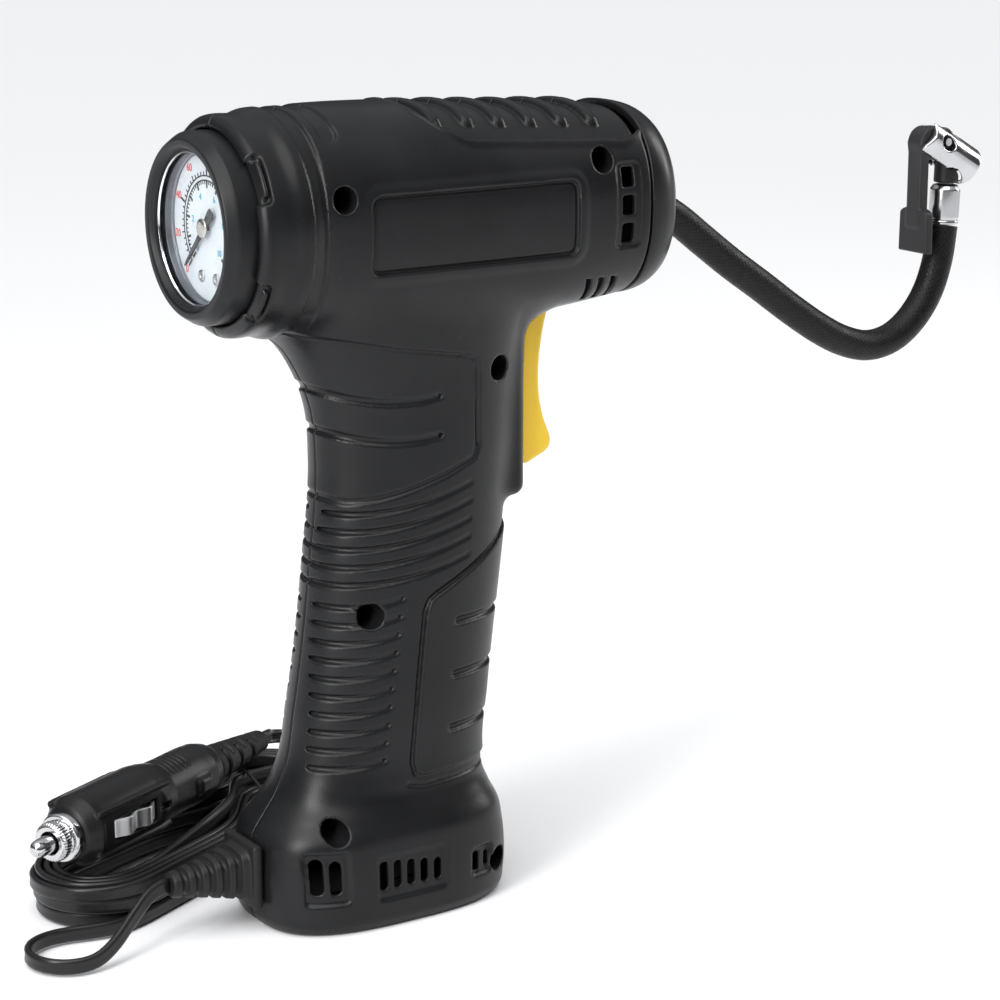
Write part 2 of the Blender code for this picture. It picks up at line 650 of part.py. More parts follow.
def piston():
    """Wobble piston: eye, arm and crown in one casting, with its leather cup.

    The eye stands clear above the crank pin, because the linkage is open there.
    """
    pin_x = GEAR_X + CRANK_R
    crown_x = pin_x + ROD_LENGTH
    low, high = 187.9 * MM, 192.4 * MM
    body = rod("con_rod", (pin_x, 0, low), (pin_x, 0, high), 4.4 * MM, segments=16)
    arm = box("con_rod_arm", (pin_x, -2.6 * MM, low + 0.4 * MM),
              (crown_x - 1 * MM, 2.6 * MM, high - 0.4 * MM))
    crown = rod("con_rod_crown", (crown_x - 2 * MM, 0, CYLINDER_Z), (crown_x, 0, CYLINDER_Z),
                8.3 * MM, segments=20)
    join(body, arm, crown)
    cut(body, cutter(rod("cut_eye", (pin_x, 0, low - 5 * MM), (pin_x, 0, high + 5 * MM), 2 * MM,
                         segments=12)))
    finish(body, "alloy")
    cup = turned("piston_cup", ((0, 2.2), (8.7, 2.2), (8.7, 0.3), (0, 0.3)),
                 (crown_x, 0, CYLINDER_Z), (1, 0, 0), 20)
    finish(cup, "soft_black")


def air_tube():
    """Thin pipe from the cylinder head over the drive to the back of the gauge."""
    route = ((56.2, 0, 204.8), (56.2, 0.0, 209.0), (54.0, -2.0, 213.4), (46.0, -6.0, 216.4),
             (28.0, -6.0, 217.0), (4.0, -4.0, 217.0), (-16.0, -2.0, 215.0), (-26.0, 0, 209.0),
             (-30.0, 0, 202.0), (-32.8, 0, 197.0), (-36.2, 0, 195.6))
    points = smooth_path(np.array(route) * MM, 5.0 * MM)
    finish(tube("air_tube", points, 1.7 * MM, 1), "nylon")


# ---------------------------------------------------------------- supply cord and plug

def cord():
    boot = loft("cord_boot", [
        square_ring(x * MM, 16.0 * MM, h * MM, p) for x, h, p in (
            (-54.0, 5.9, 6.0), (-57.6, 5.9, 6.0), (-57.7, 9.2, 6.0), (-60.5, 9.2, 6.0),
            (-64.0, 6.8, 3.5), (-68.0, 5.8, 2.4), (-76.0, 4.6, 2.0), (-82.0, 3.6, 2.0))])
    finish(boot, "soft_black")
    lead = smooth_path(np.array(LEAD_ROUTE_MM) * MM, 3.4 * MM)
    finish(tube("power_cord", lead, CORD_R, 2), "soft_black")
    finish(hank(), "soft_black")
    tail_route = [plug_point(108.4 * MM)] + [
        plug_point(d * MM) - Vector((0, 0, drop * MM))
        for d, drop in ((113.0, 0.2), (119.0, 1.4), (126.0, 3.7), (132.0, 5.9), (137.0, 7.5))]
    tail = smooth_path([tuple(p) for p in tail_route], 3.4 * MM)
    finish(tube("plug_cord", tail, CORD_R, 2), "soft_black")
    tie = tie_band()
    finish(tie, "soft_black")


def square_ring(x, z, half, power):
    return superellipse((x, 0, z), (half, half), power, 16, "X")


def hank():
    """The tied bundle as one flat solid with round ends."""
    half_w, half_l = HANK_WIDTH / 2, HANK_LENGTH / 2
    outline = []
    for start, centre in ((-90, half_l - half_w), (90, half_w - half_l)):
        for angle in np.radians(np.linspace(start, start + 180, 11)):
            outline.append((centre + half_w * math.cos(angle), half_w * math.sin(angle)))
    turn = math.atan2(HANK_DIR.y, HANK_DIR.x)
    place = (Matrix.Translation(HANK_CENTRE + Vector((0, 0, HANK_HEIGHT / 2)))
             @ Matrix.Rotation(turn, 4, "Z"))
    return flat_outline("cord_hank", outline, HANK_HEIGHT, place)


def tie_band():
    """Wire tie over the middle of the hank, clear of it on the two long sides and the top."""
    half_w = HANK_WIDTH / 2
    side = Vector((-HANK_DIR.y, HANK_DIR.x, 0))
    at = HANK_CENTRE + HANK_DIR * (20 * MM)
    out = half_w + 1.3 * MM
    top = HANK_HEIGHT + 1.3 * MM
    route = [at + side * s + Vector((0, 0, z)) for s, z in (
        (-out, 1.0 * MM), (-out, top - 1 * MM), (-out + 1 * MM, top), (out - 1 * MM, top),
        (out, top - 1 * MM), (out, 1.0 * MM))]
    return tube("cord_tie", [tuple(p) for p in route], 0.9 * MM, 1)


def plug_point(distance):
    """Point on the plug's axis, a distance behind the tip of its pin."""
    return PLUG_TIP + HANK_DIR * distance


def plug():
    back = tuple(-HANK_DIR)
    # radius, distance behind the tip of the pin; heights run towards the tip
    body = turned("plug_body", (
        (5.6, -14.0), (8.6, -15.0), (10.4, -19.0), (10.4, -62.0), (9.6, -74.0), (8.2, -80.0),
        (3.4, -80.0), (3.4, -78.0), (7.6, -76.0), (7.6, -40.0), (5.6, -38.0)),
        tuple(PLUG_TIP), back, 20)
    for side in (1, -1):
        window = cutter(contact_box("cut_contact", side, 24.0 * MM, 44.0 * MM, 3.4 * MM,
                                    5.0 * MM, 14.0 * MM))
        cut(body, window)
    finish(body, "black")
    boot = turned("plug_boot", (
        (0, -80.3), (6.6, -80.3), (6.2, -90.0), (4.8, -98.0), (3.8, -108.0), (0, -108.0)),
        tuple(PLUG_TIP), back, 16)
    finish(boot, "soft_black")
    ring = turned("plug_nose_ring", (
        (3.3, -7.0), (5.2, -7.0), (5.6, -8.0), (5.6, -10.2), (7.0, -10.4), (7.0, -13.7), (5.0, -13.7),
        (5.0, -24.0), (4.0, -24.0), (4.0, -12.0), (3.3, -11.0)), tuple(PLUG_TIP), back, 20)
    finish(ring, "chrome")
    pin = turned("plug_pin", (
        (0, 0), (1.6, -0.5), (2.6, -2.0), (2.6, -11.6), (3.5, -12.4), (3.5, -14.0), (0, -14.0)),
        tuple(PLUG_TIP), back, 16)
    finish(pin, "chrome")
    fuse = turned("plug_fuse", ((0, -24.4), (3.0, -24.4), (3.0, -54.4), (0, -54.4)),
                  tuple(PLUG_TIP), back, 12)
    finish(fuse, "clear")
    spring = tube("plug_pin_spring",
                  coil_points(plug_point(14.4 * MM), tuple(HANK_DIR), 2.6 * MM, 9.6 * MM, 4, 8),
                  0.35 * MM, 0)
    finish(spring, "steel")
    for side, name in ((1, "plug_contact_left"), (-1, "plug_contact_right")):
        contact = contact_box(name, side, 24.6 * MM, 43.4 * MM, 3.0 * MM, 7.9 * MM, 11.4 * MM)
        finish(contact, "chrome")


def contact_box(name, side, start, end, half_height, inner, outer):
    """Box beside the plug's axis, from start to end behind the tip."""
    across = Vector((-HANK_DIR.y, HANK_DIR.x, 0)) * side
    middle = plug_point((start + end) / 2) + across * (inner + outer) / 2
    piece = box(name, (-(end - start) / 2, -(outer - inner) / 2, -half_height),
                ((end - start) / 2, (outer - inner) / 2, half_height))
    turn = math.atan2(HANK_DIR.y, HANK_DIR.x)
    piece.matrix_world = Matrix.Translation(middle) @ Matrix.Rotation(turn, 4, "Z")
    return piece


# ---------------------------------------------------------------- hose and chuck

def hose():
    points = smooth_path(np.array(HOSE_ROUTE_MM) * MM, 6.0 * MM)
    finish(tube("air_hose", points, HOSE_R, 3), "soft_black")
    ferrule = turned("hose_ferrule", ((0, 12.6), (3.0, 12.6), (4.7, 11.2), (4.7, 0.3), (0, 0.3)),
                     tuple(FERRULE_BASE), tuple(FERRULE_DIR), 16)
    finish(ferrule, "chrome")


def chuck():
    """Chrome cross tube: its mouth takes the valve, its slotted end carries the thumb lever."""
    body = rod("chuck_body", chuck_point(-9.8), chuck_point(9.8), 6.2 * MM, segments=20)
    neck = rod("chuck_neck", FERRULE_BASE + FERRULE_DIR * 13.0 * MM, CHUCK_CENTRE, 3.2 * MM,
               segments=12)
    join(body, neck)
    mouth = cutter(rod("cut_mouth", chuck_point(0.6), chuck_point(30), 5.0 * MM, segments=20))
    slot = box("cut_lever_slot", (-20 * MM, -3.8 * MM, -9 * MM), (-0.8 * MM, 3.8 * MM, 9 * MM))
    slot.matrix_world = (Matrix.Translation(CHUCK_CENTRE)
                         @ Matrix.Rotation(math.atan2(-CHUCK_DIR.z, CHUCK_DIR.x), 4, "Y"))
    pin_hole = cutter(cross_pin("cut_lever_pin", 12 * MM, 1.5 * MM))
    cut(body, mouth, cutter(slot), pin_hole)
    finish(body, "chrome")
    seal = turned("chuck_seal", ((3.6, 4.6), (4.7, 4.6), (4.7, 0.9), (3.6, 0.9)),
                  tuple(CHUCK_CENTRE), tuple(CHUCK_DIR), 16)
    finish(seal, "soft_black")
    finish(cross_pin("lever_pin", 5.6 * MM, 1.2 * MM), "steel")
    lever()


def chuck_point(distance_mm):
    return CHUCK_CENTRE + CHUCK_DIR * distance_mm * MM


def cross_pin(name, half_length, radius):
    """Round pin across the chuck on the lever's axis."""
    across = Vector((0, half_length, 0))
    return rod(name, LEVER_PIVOT + across, LEVER_PIVOT - across, radius, segments=12)


def lever():
    """Thumb lever: a cam in the slot, a round head, and an arm and pad beside the hose."""
    px, pz = LEVER_PIVOT.x, LEVER_PIVOT.z
    half = Vector((0, 3.4 * MM, 0))
    cam = rod("chuck_lever", LEVER_PIVOT + half, LEVER_PIVOT - half, 4.3 * MM, segments=16)
    middle = Vector((182.2 * MM, 0, 202.0 * MM))
    head = rod("lever_head", middle + half * 0.98, middle - half * 0.98, 5.0 * MM, segments=16)
    arm = box("lever_arm", (177.2 * MM, -3.2 * MM, 180.0 * MM), (180.8 * MM, 3.2 * MM, 202 * MM))
    pad = box("lever_pad", (177.5 * MM, -6.5 * MM, 168.4 * MM), (180.5 * MM, 6.5 * MM, 181.0 * MM))
    join(cam, head, arm, pad)
    hole = cutter(rod("cut_cam_hole", (px, 8 * MM, pz), (px, -8 * MM, pz), 1.5 * MM, segments=12))
    cut(cam, hole)
    finish(cam, "soft_black")


# ---------------------------------------------------------------- joint axes

def pivot(name, at, pieces):
    """Empty on a joint's axis, with the pieces that move together parented to it."""
    empty = bpy.data.objects.new(name, None)
    empty.empty_display_size = 5 * MM
    empty.location = at
    PARTS.objects.link(empty)
    for piece in pieces:
        obj = bpy.data.objects[piece]
        obj.parent = empty
        obj.matrix_parent_inverse = Matrix.Translation(-Vector(at))


def pivots():
    plug_side = tuple(plug_point(34 * MM))
    pivot("pivot_trigger", (BACK_X, 0, 134.5 * MM), ("trigger", "switch_plunger"))
    pivot("pivot_pointer", (FRONT_X, 0, GAUGE_Z), ("gauge_pointer",))
    pivot("pivot_rotor", (MOTOR_X, 0, MOTOR_Z[0]), ("motor_rotor", "motor_pinion"))
    pivot("pivot_gear", (GEAR_X, 0, GEAR_Z[0]), ("drive_gear", "gear_bush", "crank_pin"))
    pivot("pivot_piston", (CYLINDER_X[0], 0, CYLINDER_Z), ("con_rod", "piston_cup"))
    pivot("pivot_lever", tuple(LEVER_PIVOT), ("chuck_lever",))
    pivot("pivot_plug_pin", tuple(PLUG_TIP), ("plug_pin",))
    pivot("pivot_contact_left", plug_side, ("plug_contact_left",))
    pivot("pivot_contact_right", plug_side, ("plug_contact_right",))


# ---------------------------------------------------------------- build

clear_scene()
PARTS = new_collection(PART_NAME)
CUTTERS = new_collection("cutters")

case_cuts = case_cutters()
case_half("housing_left", 1, case_cuts)
case_half("housing_right", -1, case_cuts)
for number in range(len(SCREW_PLACES_MM)):
    case_screw(number)
rear_cap()
gauge()
trigger()
switch()
motor()
gears()
drive_bracket()
compressor()
air_tube()
cord()
plug()
hose()
chuck()
pivots()
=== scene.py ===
"""Looks of the handheld air compressor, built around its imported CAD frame. Metres, +Z up."""
import math

import bpy
import numpy as np
from mathutils import Matrix, Vector


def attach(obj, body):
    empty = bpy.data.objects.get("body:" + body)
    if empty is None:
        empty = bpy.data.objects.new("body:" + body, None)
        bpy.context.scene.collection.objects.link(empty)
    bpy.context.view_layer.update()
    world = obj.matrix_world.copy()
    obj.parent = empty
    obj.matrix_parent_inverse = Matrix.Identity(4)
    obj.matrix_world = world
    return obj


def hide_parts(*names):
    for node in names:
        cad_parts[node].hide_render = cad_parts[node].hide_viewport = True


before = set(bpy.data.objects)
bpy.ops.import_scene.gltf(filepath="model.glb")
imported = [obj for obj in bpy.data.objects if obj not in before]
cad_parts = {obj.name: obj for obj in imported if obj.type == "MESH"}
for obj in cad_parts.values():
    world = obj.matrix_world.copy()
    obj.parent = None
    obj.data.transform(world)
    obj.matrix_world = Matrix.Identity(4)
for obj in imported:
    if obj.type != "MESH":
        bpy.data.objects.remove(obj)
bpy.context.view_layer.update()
MM = 0.001
CASE_CELL = 0.55     # spacing of the case's mesh, mm
FLOOR_HALF = 6
FLOOR_DROP = 0.0004             # keeps the floor clear of the base
CAMERA_TARGET = Vector((0.0258, 0, 0.11))
CAMERA_AZIMUTH, CAMERA_ELEVATION, CAMERA_DISTANCE = math.radians(-33), math.radians(14), 0.8


# ---- camera, floor and lights

def staged(name, data, place, target):
    """A camera or light at a place, looking at a target."""
    obj = bpy.data.objects.new(name, data)
    bpy.context.scene.collection.objects.link(obj)
    obj.location = place
    obj.rotation_mode = "QUATERNION"
    obj.rotation_quaternion = (Vector(target) - obj.location).to_track_quat("-Z", "Y")
    return obj


def add_camera():
    bpy.context.scene.view_settings.view_transform = "Standard"
    data = bpy.data.cameras.new("camera")
    data.lens = 100.8
    data.sensor_width = 36
    data.clip_start = 0.01
    flat = math.cos(CAMERA_ELEVATION)
    back = Vector((math.sin(CAMERA_AZIMUTH) * flat, -math.cos(CAMERA_AZIMUTH) * flat,
                   math.sin(CAMERA_ELEVATION)))
    bpy.context.scene.camera = staged("camera", data, CAMERA_TARGET + back * CAMERA_DISTANCE,
                                      CAMERA_TARGET)


def studio():
    mesh = bpy.data.meshes.new("floor")
    corners = [(FLOOR_HALF * i, FLOOR_HALF * j, 0) for i, j in ((-1, -1), (1, -1), (1, 1), (-1, 1))]
    mesh.from_pydata(corners, [], [(0, 1, 2, 3)])
    mesh.materials.append(surface("floor_paper", (0.86, 0.86, 0.87), 0.7))
    floor = bpy.data.objects.new("floor", mesh)
    bpy.context.scene.collection.objects.link(floor)
    floor.location.z = -FLOOR_DROP
    world = bpy.data.worlds.new("studio")
    bpy.context.scene.world = world
    world.use_nodes = True
    tree = world.node_tree
    place, split, shade, height, path, seen = (tree.nodes.new("ShaderNode" + kind) for kind in (
        "TexCoord", "SeparateXYZ", "ValToRGB", "MapRange", "LightPath", "Mix"))
    stops = ((0, 0.5), (0.5, 0.10), (0.62, 0.06), (0.8, 0.45), (1, 0.9))
    while len(shade.color_ramp.elements) < len(stops):
        shade.color_ramp.elements.new(0.5)
    for element, (at, level) in zip(shade.color_ramp.elements, stops):
        element.position = at
        element.color = (level * 0.96, level * 0.98, level, 1)
    height.inputs[1].default_value = -1
    seen.data_type = "RGBA"
    seen.inputs[7].default_value = (0.93, 0.94, 0.96, 1)
    for source, target in ((place.outputs["Generated"], split.inputs[0]),
                           (split.outputs[2], height.inputs[0]), (height.outputs[0], shade.inputs[0]),
                           (path.outputs["Is Camera Ray"], seen.inputs[0]),
                           (shade.outputs[0], seen.inputs[6]),
                           (seen.outputs[2], tree.nodes["Background"].inputs[0])):
        tree.links.new(source, target)
    for name, place, target, power in (("key", (-0.8, -0.35, 0.5), (0, 0, 0.11), 7),
                                       ("side", (0.9, -0.1, 0.5), (0.05, 0, 0.12), 3.5)):
        data = bpy.data.lights.new(name, "AREA")
        data.shape = "RECTANGLE"
        data.size, data.size_y = 0.25, 0.6
        data.energy = power
        staged(name, data, place, target)
    data = bpy.data.lights.new("sky", "SUN")
    data.energy = 2
    data.angle = math.radians(60)
    staged("sky", data, (-0.6, -0.5, 1.6), (0, 0, 0))


# ---- materials

def surface(name, colour, rough, bumps=(), gloss=None, tint=None, wear_and_edge_highlight=None, metallic=0, **sockets):
    """A Principled material. A noise in it is given as (cells a metre, detail).
    bumps: (noise, depth in m, strength); gloss: (noise, spread of the roughness); tint: (noise,
    its values where the mix starts and ends, the colour mixed in); wear_and_edge_highlight: colour
    mixed in on sharp edges, for edge wear and as a painted edge highlight."""
    material = bpy.data.materials.new(name)
    material.use_nodes = True
    nodes, link = material.node_tree.nodes, material.node_tree.links.new
    inputs = nodes["Principled BSDF"].inputs
    base = inputs["Base Color"]
    base.default_value = (*colour, 1)
    inputs["Roughness"].default_value = rough
    inputs["Metallic"].default_value = metallic
    for socket, value in sockets.items():
        inputs[socket.replace("_", " ")].default_value = value

    def noise(cells, detail):
        made = nodes.new("ShaderNodeTexNoise")
        made.inputs["Scale"].default_value = cells
        made.inputs["Detail"].default_value = detail
        link(nodes.new("ShaderNodeTexCoord").outputs["Object"], made.inputs["Vector"])
        return made.outputs[0]

    def ramp(source, *ends):
        made = nodes.new("ShaderNodeMapRange")
        for socket, value in zip(made.inputs[1:5], ends):
            socket.default_value = value
        link(source, made.inputs[0])
        return made.outputs[0]

    def mix_in(source, low, high, other):
        mix = nodes.new("ShaderNodeMix")
        mix.data_type = "RGBA"
        mix.inputs[6].default_value = base.default_value
        if base.links:
            link(base.links[0].from_socket, mix.inputs[6])
        mix.inputs[7].default_value = (*other, 1)
        link(ramp(source, low, high, 0, 1), mix.inputs[0])
        link(mix.outputs[2], base)

    previous = None
    for grain, depth, strength in bumps:
        bump = nodes.new("ShaderNodeBump")
        bump.inputs["Distance"].default_value = depth
        bump.inputs["Strength"].default_value = strength
        link(noise(*grain), bump.inputs["Height"])
        if previous:
            link(previous, bump.inputs["Normal"])
        previous = bump.outputs[0]
    if previous:
        link(previous, inputs["Normal"])
    if gloss:
        link(ramp(noise(*gloss[0]), 0.3, 0.7, rough - gloss[1], rough + gloss[1]), inputs["Roughness"])
    if tint:
        mix_in(noise(*tint[0]), *tint[1:])
    if wear_and_edge_highlight:
        # Sharp edges lightened by Pointiness: edge wear and a painted edge highlight.
        mix_in(nodes.new("ShaderNodeNewGeometry").outputs["Pointiness"], 0.57, 0.72, wear_and_edge_highlight)
    return material


def moulded(name, colour, rough, grain=0.00006, cells=2600, wear_and_edge_highlight=None):
    """Moulded plastic: fine stipple, soft patches of gloss, and, if given, lighter edges for wear and as a
    painted edge highlight.
    """
    return surface(name, colour, rough, (((cells, 3), grain, 0.55), ((90, 2), 0.0003, 0.12)),
                   ((55, 4), 0.07), ((38, 3), 0.35, 0.75, [c * 1.35 + 0.002 for c in colour]), wear_and_edge_highlight,
                   Specular_IOR_Level=0.24)


def bright_metal(name, colour, rough):
    """Plated or machined metal with a faint grain and handling haze."""
    return surface(name, colour, rough, (((3000, 2), 0.00002, 0.35),),
                   ((160, 4), min(0.06, rough * 0.5)),
                   ((120, 3), 0.45, 0.8, [c * 0.86 for c in colour]), metallic=1)


# ---- pieces and routes

def add_piece(name, points_mm, faces, material, body, stands_for=(), matrix=None,
              smooth=True, sharp=None):
    """A mesh piece, from points in mm, that rides on a CAD body."""
    mesh = bpy.data.meshes.new(name)
    mesh.from_pydata((np.asarray(points_mm, float) * MM).tolist(), [], [tuple(f) for f in faces])
    if matrix is not None:
        mesh.transform(matrix)
    if smooth:
        mesh.shade_smooth()
    if sharp:
        mesh.set_sharp_from_angle(angle=math.radians(sharp))
    mesh.materials.append(material)
    obj = bpy.data.objects.new(name, mesh)
    bpy.context.scene.collection.objects.link(obj)
    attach(obj, body)
    if stands_for:
        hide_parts(*stands_for)
    return obj


def smooth_path(route, spacing):
    """Points a set distance apart on a Catmull-Rom curve through the route."""
    pts = [np.array(p, float) for p in route]
    pts = [2 * pts[0] - pts[1]] + pts + [2 * pts[-1] - pts[-2]]
    fine = []
    for a, b, c, d in zip(pts, pts[1:], pts[2:], pts[3:]):
        for t in np.linspace(0, 1, 24, endpoint=False):
            fine.append(0.5 * (2 * b + (c - a) * t + (2 * a - 5 * b + 4 * c - d) * t ** 2
                               + (3 * b - a - 3 * c + d) * t ** 3))
    fine = np.array(fine + [pts[-2]])
    run = runs_along(fine)
    stations = np.linspace(0, run[-1], max(2, int(round(run[-1] / spacing))) + 1)
    return np.stack([np.interp(stations, run, fine[:, k]) for k in range(3)], axis=1)


def runs_along(path):
    """Distance along the path to each of its points."""
    return np.concatenate([[0], np.cumsum(np.linalg.norm(np.diff(path, axis=0), axis=1))])


def ring(count):
    """Angles evenly round a circle."""
    return np.linspace(0, 2 * math.pi, count, endpoint=False)


def table(at, rows):
    """The second column of the rows, at a place in their first."""
    return np.interp(at, *zip(*rows))


def sweep(path, outline, across=(0, 0, 1)):
    """Tube along a path that never runs along the direction called across.
    outline(run) gives the (side, up) points of the section that far along."""
    tangents = np.gradient(path, axis=0)
    tangents /= np.linalg.norm(tangents, axis=1)[:, None]
    points = []
    for at, along, run in zip(path, tangents, runs_along(path)):
        side = np.cross(across, along)
        side /= np.linalg.norm(side)
        up = np.cross(along, side)
        section = outline(run)
        points.append(at + section[:, :1] * side + section[:, 1:] * up)
    count = len(points[0])
    faces = []
    for i in range(len(path) - 1):
        for j in range(count):
            k = (j + 1) % count
            faces.append((i * count + j, (i + 1) * count + j, (i + 1) * count + k, i * count + k))
    faces.append(tuple(range(count)))
    faces.append(tuple((len(path) - 1) * count + j for j in reversed(range(count))))
    return np.concatenate(points), [tuple(reversed(f)) for f in faces]


# ---- supply cord

HANK_CENTRE = np.array((-46, 54.5, 0))
HANK_DIR = np.array((0.891, 0.454, 0)) / math.hypot(0.891, 0.454)
HANK_SIDE = np.array((-HANK_DIR[1], HANK_DIR[0], 0))
HANK_HALF_RUN = 46            # middle of the hank to the centre of its end bends
TIE_AT = 20                   # along the hank from its middle
TIE_RADIUS = 0.5
HANK_LOOPS = 11
LAYERS_MM = (2.4, 6.9, 11.4)
COLUMN_RADII_MM = (19, 16.6, 14.2, 11.8)
CORD_WIDTH = 4.4
PLUG_TIP = HANK_CENTRE - HANK_DIR * 75 + np.array((0, 0, 25.7))


def hank_place(along, across, height, origin=HANK_CENTRE):
    """Point in the hank's own directions."""
    return origin + HANK_DIR * along + HANK_SIDE * across + np.array((0, 0, height))


def hank_point(along, across, height):
    """Point of a strand: the strands are drawn together at the tie and splay out past it."""
    pinch = math.exp(-((along - TIE_AT) / 15) ** 2)
    across = math.copysign(max(abs(across) - 10 * pinch, 1.3 * min(1, abs(across))), across)
    splay = min(max((along - 34) / 26, 0), 1)
    height += 1.5 * pinch
    across += splay * (height - 6.9) * 0.75
    return hank_place(along - splay * (height - 2.4) * 0.6, across, height)


def hank_route():
    """Turns of the lead: four columns in each layer, out and back like thread on a bobbin."""
    points = []
    steps = 44
    for k in range(HANK_LOOPS * steps + 3):
        turns = k / steps
        layer = int(turns // 4)
        column = turns - 4 * layer
        if layer % 2:
            column = 3.999 - column
        whole = int(column)
        ease = min(max((column - whole - (0 if layer % 2 else 0.6)) / 0.4, 0), 1)
        radius = float(np.interp(whole + ease - (1 if layer % 2 else 0),
                                 range(4), COLUMN_RADII_MM))
        rise = min(max((turns - 4 * (layer + 1) + 0.35) / 0.35, 0), 1)
        height = LAYERS_MM[layer] + (4.5 * rise if layer < 2 else 0)
        points.append(hank_point(*racetrack(turns % 1, radius), height))
    return points


def racetrack(share, radius):
    """(along, across) on a loop of two straight runs and two half circles."""
    straight = 2 * HANK_HALF_RUN
    bend = math.pi * radius
    s = share * 2 * (straight + bend)
    if s < straight:
        return s - HANK_HALF_RUN, -radius
    s -= straight
    if s < bend:
        return (HANK_HALF_RUN + radius * math.sin(s / radius), -radius * math.cos(s / radius))
    s -= bend
    if s < straight:
        return HANK_HALF_RUN - s, radius
    s -= straight
    return (-HANK_HALF_RUN - radius * math.sin(s / radius), radius * math.cos(s / radius))


def supply_route():
    lead = [(-82.4, 0, 16), (-84.5, 0, 15.9), (-89, -1, 14.4), (-95, -3.6, 10.4),
            (-101.5, -6.6, 6), (-108, -8.4, 3.2), (-114.6, -7.4, 2.5), (-120, -3.2, 2.5),
            (-122, 3.4, 2.5), (-119.8, 9.6, 2.5), (-114.4, 13.2, 2.5), (-107.6, 13.6, 2.5),
            (-100.2, 12, 2.5), (-92.8, 11.2, 2.5)]
    joining = [hank_point(-53, -18.8, 2.5)]
    tail = [hank_point(a, c, h) for a, c, h in (
        (-22, -12.2, 13.4), (-10, -12.4, 15.6), (4, -12.6, 16.2), (16, -12.6, 16.4), (28, -12.8, 16.3))]
    back = [hank_place(a, c, h) for a, c, h in (
        (40, -9.6, 16.3), (49, -11.6, 16.6), (56.5, -9.4, 16.9), (61, -3.6, 17.3),
        (60.2, 3.4, 18), (54.6, 7.4, 19.4), (47.6, 6.6, 21.4), (42, 2.6, 24), (37.6, 0.3, 25.5),
        (33.4, 0, 25.7))]
    return lead + joining + hank_route() + tail + back


def supply_cord():
    path = smooth_path(supply_route(), 1.9)
    angles = ring(14)
    across = 1.22 * np.sign(np.sin(angles)) * np.abs(np.sin(angles)) ** 0.75
    up = 0.5 * CORD_WIDTH * np.cos(angles)
    waist = 1 - 0.42 * np.exp(-(up / 0.75) ** 2)
    section = np.stack([across * waist, up], axis=1)
    points, faces = sweep(path, lambda run: section)
    cover = surface("cord_cover", (0.007, 0.007, 0.0075), 0.36, (((1800, 3), 0.00005, 0.4),),
                    ((70, 3), 0.08), ((45, 3), 0.4, 0.75, (0.012, 0.012, 0.013)),
                    Specular_IOR_Level=0.35)
    piece = add_piece("supply_lead", points, faces, cover, "casing",
                      ("power_cord", "cord_hank", "plug_cord"))
    return piece, path


# ---- air hose

HOSE_ROUTE_MM = ((72.4, 0, 192), (76, 0, 191.8), (81.5, 0, 189.3), (88, 0, 185.3),
                 (96, 0, 179.3), (107, 0, 171.2), (118.5, 0, 163.4), (130, 0, 155.4),
                 (141, 0, 148.4), (151, 0, 143.4), (161, 0, 140.9), (170.5, 0, 142.4),
                 (178.5, 0, 147.6), (184.6, 0, 155.4), (188.2, 0, 165), (189.9, 0, 175.9))
HOSE_R = 4.7
BRAID_ENDS = 20                 # bundles of thread each way round


def air_hose():
    """Hose with the crossing bundles of its textile braid standing out of it."""
    path = smooth_path(HOSE_ROUTE_MM, 0.27)
    angles = ring(120)

    def outline(run):
        twist = BRAID_ENDS * run / (HOSE_R * 1.25)
        one = np.abs(np.sin((BRAID_ENDS * angles + twist) / 2))
        other = np.abs(np.sin((BRAID_ENDS * angles - twist) / 2))
        swap = 0.5 + 0.5 * np.sin(BRAID_ENDS * angles) * np.sin(twist)
        r = HOSE_R + 0.2 * (one ** 0.6 * swap + other ** 0.6 * (1 - swap)) - 0.18
        return np.stack([r * np.cos(angles), r * np.sin(angles)], axis=1)

    points, faces = sweep(path, outline, (0, 1, 0))
    thread = surface("hose_thread", (0.0042, 0.0042, 0.0046), 0.42, (((5200, 2), 0.00006, 0.6),),
                     ((400, 3), 0.1), ((900, 2), 0.45, 0.8, (0.009, 0.009, 0.0095)),
                     Specular_IOR_Level=0.2)
    piece = add_piece("hose_braid", points, faces, thread, "casing", ("air_hose",))
    return piece, path


# ---- shapes as fields

def hermite(table, place):
    """The table's columns at a place in its first column, smooth between its rows."""
    rows = np.array(table, float)
    at, values = rows[:, 0], rows[:, 1:]
    slopes = np.gradient(values, at, axis=0)
    place = np.clip(place, at[0], at[-1])
    i = np.clip(np.searchsorted(at, place) - 1, 0, len(at) - 2)
    span = at[i + 1] - at[i]
    t = (place - at[i]) / span
    found = []
    for c in range(values.shape[1]):
        v0, v1 = values[i, c], values[i + 1, c]
        m0, m1 = slopes[i, c] * span, slopes[i + 1, c] * span
        found.append((2 * t ** 3 - 3 * t ** 2 + 1) * v0 + (t ** 3 - 2 * t ** 2 + t) * m0
                     + (3 * t ** 2 - 2 * t ** 3) * v1 + (t ** 3 - t ** 2) * m1)
    return found


def union(a, b, blend=0.01):
    h = np.clip(0.5 + 0.5 * (b - a) / blend, 0, 1)
    return b + (a - b) * h - blend * h * (1 - h)


def common(a, b, blend=0.01):
    return -union(-a, -b, blend)


def less(a, b, blend=0.01):
    return common(a, -b, blend)


def step(distance, width):
    """0 outside an edge, rising smoothly to 1 a width inside it."""
    t = np.clip(-distance / width, 0, 1)
    return t * t * (3 - 2 * t)


def grown(value, start, over):
    """0 up to a start, rising evenly to 1 where the value has grown by so much."""
    return np.clip((value - start) / over, 0, 1)


def round_rect(u, v, centre, half, radius):
    du = np.abs(u - centre[0]) - half[0] + radius
    dv = np.abs(v - centre[1]) - half[1] + radius
    return np.hypot(np.maximum(du, 0), np.maximum(dv, 0)) + np.minimum(np.maximum(du, dv), 0) - radius


